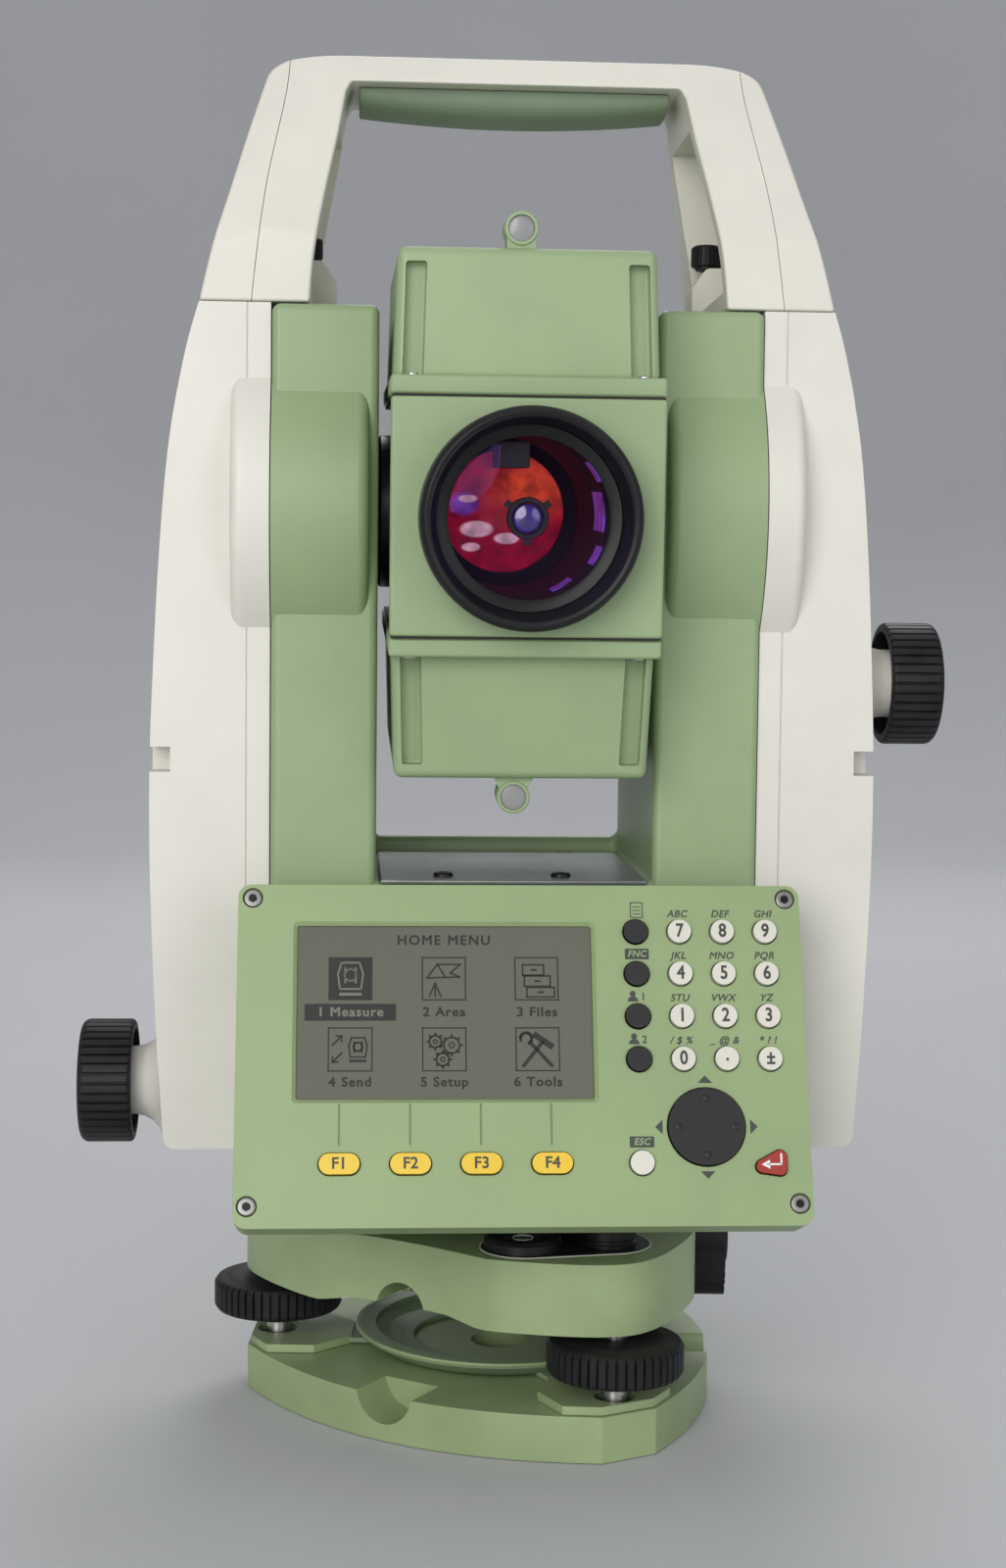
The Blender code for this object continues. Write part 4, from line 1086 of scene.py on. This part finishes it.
def make_arch():
    """The bare arch over the telescope: wide legs that narrow towards the bar."""
    leg = [(81.5, HANDLE_BOTTOM), (78.5, 306.5), (74.4, 321), (70.3, 336), (66.2, 350)]
    corner = [(64.6, 354.5), (62, 357), (58, 358.6), (50, 359.8), (40, HANDLE_TOP)]
    outer = smooth_line(leg + corner, 5)
    inner = smooth_line([(53.5, HANDLE_BOTTOM), (52.5, 306), (49.8, 322), (46.6, 338)], 5)
    inner += [(44.6, 350), (43.2, 352.8)]
    outline = outer + mirrored_outline(-1, reversed(outer)) + mirrored_outline(-1, inner) + inner[::-1]
    arch = slab(outline, -COVER_HALF_DEPTH, COVER_HALF_DEPTH, FRONT_VIEW)
    profile = [(-39, 292), (39, 292), (36, 312), (15, 361), (-15, 361), (-36, 312)]
    arch = softened(common(arch, slab(profile, -100, 100, SIDE_VIEW)), 2.4, 4, 42)
    return common(arch, box((-120, -60, HANDLE_BOTTOM), (120, 60, 400)))


def make_handle():
    """The arch with hollow legs, a screw pad in each leg and a shallow slot down each leg's front."""
    foot = HANDLE_BOTTOM + 5
    hollow = [(-33, foot), (-31, 312), (-18, 342), (16, 342), (19, 322), (19, foot)]
    cutters = []
    pads = []
    for side, edge in ((-1, 47), (1, 50.2)):
        low, high = sorted((side * 40, side * 60.5))
        cutters.append(softened(slab(hollow, low, high, SIDE_VIEW), 1, 2, 30))
        pad = [(edge, PAD_FOOT), (edge, 304), (edge + 4, 309.5), (60, 309.5), (60, PAD_FOOT)]
        pads.append(softened(slab(mirrored_outline(side, pad), -17, -3, FRONT_VIEW), 1, 3))
    arch = combined(make_arch(), joined(cutters))
    for pad in pads:
        arch = union(arch, pad)
    arch = combined(arch, joined([leg_seam(side) for side in (-1, 1)]))
    alidade_piece("handle_arch", arch, "handle_white", ["handle"], 30)


def leg_seam(side):
    """The slot along the joint between a leg's two halves."""
    line = smooth_line([(68.6, 290), (66.9, 307), (64.5, 326), (60, 350), (59, 364)], 4)
    outline = [(x - 0.09, z) for x, z in line] + [(x + 0.09, z) for x, z in reversed(line)]
    return slab(mirrored_outline(side, outline), 12, 42, FRONT_VIEW)


def make_grip():
    """A bar with a slightly bowed underside and well rounded lower edges."""
    low, high = corners("handle_grip")
    loops = []
    for step in range(25):
        x = low.x + (high.x - low.x) * step / 24
        depth = high.z - (GRIP_BOW_CENTRE - math.sqrt(GRIP_BOW_RADIUS ** 2 - x * x))
        section = []
        for angle in range(0, 181, 10):
            across, down = math.cos(math.radians(angle)), math.sin(math.radians(angle))
            y = math.copysign(abs(across) ** 0.75, across) * high.y
            section.append((x, y, high.z - depth * down ** 0.75))
        loops.append(section)
    grip = softened(lofted(loops), 0.5, 2, 50)
    alidade_piece("handle_grip_bar", grip, "grip", ["handle_grip"])


def make_handle_screw(name, side):
    place = placed((side * 55, 10, 0))
    profile = [(0, 316.5), (3.2, 316.5), (4, 316), (4.2, 315.4), (4.2, 311), (3.8, 310.6), (0, 310.6)]
    head = knurled(profile, 22, 0.4, rounding=0.06, steps=96)
    head = combined(head, box((-5, -0.5, 315.4), (5, 0.5, 318)))
    collar = turned([(0, 310.7), (3, 310.7), (3, 309.8), (0, 309.8)], steps=48)
    piece(f"{name}_head", moved(joined([head, collar]), place), "knob", name, [name])


make_handle()
make_grip()
make_handle_screw("handle_screw_left", -1)
make_handle_screw("handle_screw_right", 1)


# ---- Keyboard panel, drawn across and up its own face ----

KEY_RADIUS = 2.9
SIDE_KEY_RADIUS = 3
PAD_RADIUS = 9.4
SIDE_COLUMN = 28.5
BOTTOM_ROW = -27
NUMBER_KEYS = (("7", "8", "9"), ("4", "5", "6"), ("1", "2", "3"), ("0", "point", "sign"))
NUMBER_LABELS = {"point": ".", "sign": "±"}
LETTER_LABELS = (
    ("ABC", "DEF", "GHI"),
    ("JKL", "MNO", "PQR"),
    ("STU", "VWX", "YZ"),
    ("/ $ %", "_ @ &", "* ? !"),
)
NAVIGATION = (44.5, -18.3)
QUARTERS = (0, 90, 180, 270)
KEY_TOP = 1.3
PAD_TOP = 0.9
POCKET_DEPTH = 3.2
POCKET_GAP = 0.35
ABOVE_PANEL = 5
PRINT = (-0.05, 0.04)
CORNER_SCREWS = ((-66.4, 38.8), (66.4, 38.8), (-66.7, -36.9), (66.7, -36.9))
SCREW_FLOOR = -0.9
WINDOW_CENTRE = (-18.95, 10.3)
# The display's opening: distance out of the panel, half width, half height, corner radius
WINDOW_EDGES = ((-1.8, 36.4, 21.6, 0.7), (-0.9, 36.4, 21.6, 0.7), (0.6, 38, 23.15, 1.2))


def row_height(row):
    return 30.3 - 10.65 * row


def column_across(column):
    return 39.4 + 10.75 * column


def function_key_across(index):
    return -44.7 + 17.13 * index


def on_panel(across, up, out=0):
    return PANEL @ Vector((across, up, out))


OUT_OF_PANEL = on_panel(0, 0, 1) - on_panel(0, 0)


def round_key(centre, radius=KEY_RADIUS):
    return arc(centre, radius, 0, 352.5, 47)


def function_key(centre, spare=0):
    """A key whose ends are half circles."""
    radius = 2.5 + spare
    right = arc((centre[0] + 2.4, centre[1]), radius, -90, 90, 16)
    return right + arc((centre[0] - 2.4, centre[1]), radius, 90, 270, 16)


def enter_outline(spare=0):
    """A wedge with rounded corners, its point to the left."""
    radius = 1.6 + spare
    tip = arc((57.9, -28), radius, 120, 250, 8)
    return tip + arc((62.1, -28.6), radius, -90, 0, 6) + arc((62.1, -25.7), radius, 0, 100, 8)


def round_pair(centre, radius=KEY_RADIUS):
    """The outlines of a round key and of its pocket."""
    return round_key(centre, radius), round_key(centre, radius + POCKET_GAP)


def key_table():
    """Each key's name with its outline, its pocket's outline and its finish."""
    keys = {}
    for i in range(4):
        centre = (function_key_across(i), BOTTOM_ROW)
        keys[f"key_f{i + 1}"] = (function_key(centre), function_key(centre, POCKET_GAP), "key_yellow")
    for row in range(4):
        up = row_height(row)
        keys[f"key_side_{row + 1}"] = (*round_pair((SIDE_COLUMN, up), SIDE_KEY_RADIUS), "key_black")
        for column, label in enumerate(NUMBER_KEYS[row]):
            keys[f"key_{label}"] = (*round_pair((column_across(column), up)), "key_white")
    keys["key_escape"] = (*round_pair((SIDE_COLUMN, BOTTOM_ROW)), "key_white")
    keys["key_navigation"] = (*round_pair(NAVIGATION, PAD_RADIUS), "key_black")
    keys["key_enter"] = (enter_outline(), enter_outline(POCKET_GAP), "key_red")
    return keys


def lettering(text, centre, size, out, bold=0, slant=0, spacing=1, stretch=1):
    """Text centred at a point across and up the panel, between two distances out of it."""
    low, high = out
    curve = bpy.data.curves.new("text", "FONT")
    curve.body = text
    curve.size = size
    curve.align_x = "CENTER"
    curve.align_y = "CENTER"
    curve.extrude = (high - low) / 2
    curve.shear = slant
    curve.space_character = spacing
    curve.resolution_u = 4
    plain = evaluated(linked("temporary", curve))
    # A bold letter is a ring of shifted ones, each a hair above the last
    shifts = [around(bold, 60 * turn, turn * 0.003) for turn in range(6 if bold else 1)]
    mesh = joined([moved(plain.copy(), Matrix.Translation(shift)) for shift in shifts])
    place = Matrix.Translation((*centre, (low + high) / 2)) @ Matrix.Diagonal((stretch, 1, 1, 1))
    return moved(mesh, PANEL @ place)


def stroke(points, width, out):
    """A drawn line as flat bars from point to point."""
    bars = []
    for start, end in zip(points, points[1:]):
        start, end = Vector(start), Vector(end)
        beside = (end - start).normalized() * width / 2
        start, end = start - beside, end + beside
        across = Vector((-beside.y, beside.x))
        outline = [start - across, end - across, end + across, start + across]
        bars.append(slab([tuple(point) for point in outline], *out, PANEL))
    return joined(bars)


def closed_stroke(points, width, out):
    return stroke(list(points) + [points[0]], width, out)


def make_panel():
    """The tilted front with a pocket for each key, and the wedge that joins it to the casting."""
    outline = rounded_outline((0, 0), PANEL_HALF_WIDTH, PANEL_HALF_HEIGHT, 3.2, 8)
    plate = softened(slab(outline, -PANEL_THICKNESS, 0, PANEL), 1, 4, 60)
    back = -STANDARD_HALF_DEPTH - 0.3
    wedge = [(-59, 136), (-80, 74), (back, 70), (back, 140)]
    panel = union(plate, softened(slab(wedge, -56, 56, SIDE_VIEW), 1.5, 3))
    edges = []
    for out, half_width, half_height, radius in WINDOW_EDGES:
        edge = rounded_outline(WINDOW_CENTRE, half_width, half_height, radius)
        edges.append([on_panel(*point, out) for point in edge])
    panel = combined(panel, lofted(edges))
    pockets = [slab(pocket, -POCKET_DEPTH, ABOVE_PANEL, PANEL) for _, pocket, _ in key_table().values()]
    pockets += [slab(round_key(place, 2.55), SCREW_FLOOR, ABOVE_PANEL, PANEL) for place in CORNER_SCREWS]
    for i in range(4):
        groove = rounded_outline((function_key_across(i), -17.5), 0.3, 5, 0.2, 2)
        pockets.append(slab(groove, -0.6, ABOVE_PANEL, PANEL))
    panel = combined(panel, joined(pockets))
    alidade_piece("panel_front", panel, "panel_green", ["panel_housing"], 30)


def make_panel_screws():
    for i, place in enumerate(CORNER_SCREWS):
        centre = on_panel(*place, SCREW_FLOOR)
        screw = socket_screw(centre, on_panel(*place, 1) - centre, 2.4, 0.8)
        alidade_piece(f"panel_screw_{i + 1}", screw, "screw")
        # Painted shade: a near-black disc at the bottom of the screw's socket
        socket_shade = slab(round_key(place, 1), -0.7, -0.55, PANEL)
        alidade_piece(f"panel_screw_socket_shade_{i + 1}", socket_shade, "ring_grey")


def make_keys():
    for name, (outline, _, finish_name) in key_table().items():
        is_pad = name == "key_navigation"
        key = softened(slab(outline, -2.1, PAD_TOP if is_pad else KEY_TOP, PANEL), 0.55, 3, 50)
        if is_pad:
            key = with_dots(key)
        piece(f"{name}_cap", key, finish_name, name, [name])


def with_dots(pad):
    """The round pad with a small raised dot near each of its four sides."""
    dome = [(0, 0.62), (0.5, 0.58), (0.9, 0.42), (1.05, 0.2), (1.05, 0), (0, 0)]
    for angle in QUARTERS:
        dot = Vector(NAVIGATION) + around(6.9, angle).to_2d()
        pad = union(pad, turned(dome, on_panel(*dot, PAD_TOP - 0.3), OUT_OF_PANEL, 28))
    return pad


def make_key_legends():
    """The figures and words on the keys, which move with them."""
    out = (KEY_TOP - 0.15, KEY_TOP + 0.05)
    for row, labels in enumerate(NUMBER_KEYS):
        for column, label in enumerate(labels):
            centre = (column_across(column), row_height(row) + (0.9 if label == "point" else 0))
            mesh = lettering(NUMBER_LABELS.get(label, label), centre, 4.7, out, 0.13, stretch=0.84)
            piece(f"key_{label}_legend", mesh, "legend", f"key_{label}")
    for i in range(4):
        mesh = lettering(f"F{i + 1}", (function_key_across(i), BOTTOM_ROW), 3.9, out, 0.09)
        piece(f"key_f{i + 1}_legend", mesh, "legend", f"key_f{i + 1}")
    shaft = stroke([(62.3, -25.2), (62.3, -27.6), (58.9, -27.6)], 0.45, out)
    head = slab([(57.4, -27.6), (59.5, -26.5), (59.5, -28.7)], *out, PANEL)
    piece("key_enter_legend", joined([shaft, head]), "legend_white", "key_enter")


def navigation_arrow(angle):
    """A small triangle outside the round pad, pointing away from it."""
    points = (around(12.6, angle), around(10.9, angle + 9.5), around(10.9, angle - 9.5))
    return slab([(NAVIGATION[0] + p.x, NAVIGATION[1] + p.y) for p in points], *PRINT, PANEL)


def user_print(row, figure):
    """A head and shoulders with a figure beside it, above a side key."""
    height = row_height(row) + 4.8
    head = slab(round_key((27.4, height + 0.85), 0.75), *PRINT, PANEL)
    shoulders = slab(arc((27.4, height - 1.1), 1.35, 0, 180, 10), *PRINT, PANEL)
    return [head, shoulders, lettering(figure, (30, height), 2.6, PRINT, 0.06)]


def make_panel_print():
    """Small printed labels above the keys, and the arrows round the navigation pad."""
    prints = []
    for row, labels in enumerate(LETTER_LABELS):
        for column, label in enumerate(labels):
            centre = (column_across(column) - 0.4, row_height(row) + 4.6)
            prints.append(lettering(label, centre, 2.5, PRINT, 0.06, 0.25, 1.08))
    prints += [navigation_arrow(angle) for angle in QUARTERS]
    prints.append(closed_stroke(rounded_outline((28.9, 35.9), 1.5, 1.9, 0.2, 2), 0.25, PRINT))
    for height in (34.9, 35.8, 36.7):
        prints.append(stroke([(28, height), (29.8, height)], 0.22, PRINT))
    prints += user_print(2, "1") + user_print(3, "2")
    alidade_piece("panel_print", joined(prints), "legend")
    boxes = []
    words = []
    for word, centre in (("FNC", (28.7, 24.7)), ("ESC", (28.6, -21.9))):
        boxes.append(slab(rounded_outline(centre, 3, 1.35, 0.15, 2), *PRINT, PANEL))
        words.append(lettering(word, centre, 2.3, (PRINT[0], PRINT[1] + 0.03), 0.05, 0.2, 1.05))
    alidade_piece("panel_print_boxes", joined(boxes), "legend")
    alidade_piece("panel_print_words", joined(words), "panel_green")


# ---- Display: a grey-green pane with its menu drawn in dark dots ----

PANE_OUT = -1.3
DRAWN = (PANE_OUT - 0.05, PANE_OUT + 0.03)
REVERSED_RISE = 0.05
ICON_COLUMNS = (-42.2, -19.2, 3.7)
ICON_ROWS = (18.7, 1.1)
CAPTION_ROWS = (10.3, -7)
CAPTIONS = (("1 Measure", "2 Area", "3 Files"), ("4 Send", "5 Setup", "6 Tools"))
ICON_HALF = 5.3


def make_display():
    pane = softened(slab(rounded_outline(WINDOW_CENTRE, 36.3, 21.5, 0.6), -1.75, PANE_OUT, PANEL), 0.15, 2)
    alidade_piece("display_pane", pane, "screen", ["display"])


def shifted(points, place, scale=1):
    return [(place[0] + x * scale, place[1] + y * scale) for x, y in points]


def drawn(points, place, width=0.42, scale=1):
    return stroke(shifted(points, place, scale), width, DRAWN)


def drawn_closed(points, place, width=0.42, scale=1):
    return closed_stroke(shifted(points, place, scale), width, DRAWN)


def filled(outline):
    return slab(outline, *DRAWN, PANEL)


def caption(row, column, rise=0):
    """The words under an icon."""
    place = (ICON_COLUMNS[column], CAPTION_ROWS[row])
    return lettering(CAPTIONS[row][column], place, 3.2, (DRAWN[0], DRAWN[1] + rise), 0.1, 0, 1.14, 1.06)


def rectangle(centre, half_width, half_height):
    corner_signs = ((-1, -1), (1, -1), (1, 1), (-1, 1))
    return [(centre[0] + x * half_width, centre[1] + y * half_height) for x, y in corner_signs]


def instrument_icon(place, scale=1):
    """A small drawing of an instrument: its frame, its telescope and its base."""
    outline = [(-2.6, -2.6), (-3.1, 1.2), (-2.2, 4), (2.2, 4), (3.1, 1.2), (2.6, -2.6)]
    parts = [drawn_closed(outline, place, scale=scale)]
    parts.append(drawn_closed(arc((0, 0.9), 1.5, 0, 330, 11), place, scale=scale))
    for x in (-1.3, 1.3):
        parts.append(drawn([(x, 2.6), (x, -1)], place, scale=scale))
    return parts + [drawn([(-2.4, -3.9), (2.4, -3.9)], place, 0.7, scale)]


def area_icon(place):
    parts = [drawn_closed([(-4.2, 0.2), (-1.6, 3.6), (4, 3.6), (1.6, 1.4), (3.9, 0.4)], place)]
    parts.append(drawn([(-1.6, 3.6), (0.4, 0.3)], place))
    return parts + [drawn([(-2.2, -1.2), (x, -4.4)], place) for x in (-3.6, -2.2, -0.8)]


def files_icon(place):
    """Three open drawers, each with its handle."""
    drawers = ((-0.8, 2.2, 2.6, 1.3), (0.2, -0.6, 3.2, 1.3), (1, -3.4, 3.4, 1.2))
    parts = [drawn_closed(rectangle((x, y), *half_size), place) for x, y, *half_size in drawers]
    for x, end, y in ((-1.2, -0.2, 2.2), (-0.3, 0.8, -0.6), (0.5, 1.6, -3.4)):
        parts.append(drawn([(x, y), (end, y)], place, 0.5))
    return parts


def send_icon(place):
    """A small instrument beside two arrows, one each way."""
    parts = instrument_icon((place[0] + 1.9, place[1]), 0.72)
    for way, x, y in ((1, -3.2, 2.2), (-1, -3.2, -2)):
        centre = (place[0] + x, place[1] + y)
        parts.append(drawn([(-1.1, -1.1), (1.1, 1.1)], centre, 0.5, way))
        parts.append(drawn([(1.1, -0.2), (1.1, 1.1), (-0.2, 1.1)], centre, scale=way))
    return parts


def gear_icon(place):
    """Three toothed wheels."""
    parts = []
    for x, y, radius in ((-2.2, 1.9, 1.5), (1.8, 1, 2), (-0.4, -2.5, 1.6)):
        hub = (place[0] + x, place[1] + y)
        parts.append(drawn_closed(arc((0, 0), radius, 0, 330, 11), hub))
        parts.append(drawn_closed(arc((0, 0), radius * 0.35, 0, 300, 5), hub, 0.3))
        for i in range(8):
            ends = [tuple(around(reach, 45 * i).to_2d()) for reach in (radius, radius + 0.5)]
            parts.append(drawn(ends, hub, 0.5))
    return parts


def tools_icon(place):
    """A crossed hammer and wrench."""
    hammer = [drawn([(-3.4, -4), (1.4, 2)], place, 0.9), drawn([(-0.4, 3.4), (3.2, 0.9)], place, 1.5)]
    jaw = arc((-2.8, 2.7), 1.4, -60, 200, 8)
    return hammer + [drawn([(3.4, -4), (-1.8, 1.6)], place, 0.9), drawn(jaw, place, 0.7)]


def make_menu():
    """The title, six framed drawings and their captions; the first one is shown reversed."""
    dark = [lettering("HOME MENU", (-19.2, 28.3), 3.4, DRAWN, 0.09, 0, 1.2, 1.02)]
    icons = ((None, area_icon, files_icon), (send_icon, gear_icon, tools_icon))
    for row, height in enumerate(ICON_ROWS):
        for column, across in enumerate(ICON_COLUMNS):
            draw = icons[row][column]
            if draw:
                dark.append(drawn_closed(rectangle((0, 0), ICON_HALF, ICON_HALF), (across, height), 0.34))
                dark.append(caption(row, column))
                dark += draw((across, height))
    first = (ICON_COLUMNS[0], ICON_ROWS[0])
    dark.append(filled(rectangle(first, ICON_HALF + 0.1, ICON_HALF + 0.1)))
    dark.append(filled(rectangle((ICON_COLUMNS[0], CAPTION_ROWS[0]), 11.2, 2.1)))
    alidade_piece("display_menu", joined(dark), "pixel")
    raised = Matrix.Translation(OUT_OF_PANEL * REVERSED_RISE)
    light = [moved(part, raised) for part in instrument_icon(first)] + [caption(0, 0, REVERSED_RISE)]
    alidade_piece("display_menu_reversed", joined(light), "pixel_light")


make_panel()
make_panel_screws()
make_keys()
make_key_legends()
make_panel_print()
make_display()
make_menu()


# ---- Camera, light and surroundings ----

def make_camera():
    """In front of the instrument and a little to its left, with a slight roll."""
    yaw, pitch, roll = math.radians(-3.74), math.radians(-4.05), math.radians(0.6)
    heading = Vector((-math.sin(yaw), math.cos(yaw), 0))
    forward = heading * math.cos(pitch) + Vector(UP) * math.sin(pitch)
    level = Vector((math.cos(yaw), math.sin(yaw), 0))
    upright = level.cross(forward)
    right = math.cos(roll) * level + math.sin(roll) * upright
    up = math.cos(roll) * upright - math.sin(roll) * level
    data = bpy.data.cameras.new("camera")
    data.lens = 54.45
    data.sensor_width = 36
    data.clip_start = 0.01
    camera = linked("camera", data)
    turn = Matrix((right, up, -forward)).transposed().to_4x4()
    camera.matrix_world = Matrix.Translation((-0.043, -0.650, 0.2139)) @ turn
    bpy.context.scene.camera = camera


def make_surroundings():
    """A pale floor that curves up into a pale wall all the way round."""
    curve = arc((1500, 700), 700, -80, 0, 12)
    floor = linked("floor", line_mesh([(0, 0), (1500, 0)] + curve + [(2200, 2400)]))
    screw_modifier(floor, 96).use_smooth_shade = True
    floor.location.z = -0.0002
    floor.data.materials.append(finish("floor", (0.53, 0.535, 0.55), 0.8, drift=0.02, drift_size=400))


def make_area_light(name, place, size, power, colour=(1, 1, 1)):
    """A round soft light that faces the instrument's middle."""
    data = bpy.data.lights.new(name, "AREA")
    data.shape = "DISK"
    data.size = size
    data.energy = power
    data.color = colour
    light = linked(name, data)
    light.location = place
    light.rotation_mode = "QUATERNION"
    light.rotation_quaternion = (Vector((0, 0, 0.2)) - Vector(place)).to_track_quat("-Z", "Y")


def make_lights():
    make_area_light("key_light", (-0.55, -1.5, 0.6), 1.1, 16.5, (1, 0.99, 0.97))
    make_area_light("fill_light", (0.9, -1.3, 0.5), 1, 4.5, (0.97, 0.985, 1))
    make_area_light("back_light", (0.2, 1.2, 1.3), 1, 10)
    world = bpy.data.worlds.new("world")
    world.use_nodes = True
    background = world.node_tree.nodes["Background"]
    background.inputs["Color"].default_value = (0.95, 0.97, 1, 1)
    background.inputs["Strength"].default_value = 0.62
    bpy.context.scene.world = world


make_camera()
make_surroundings()
make_lights()
bpy.context.scene.view_settings.view_transform = "Standard"
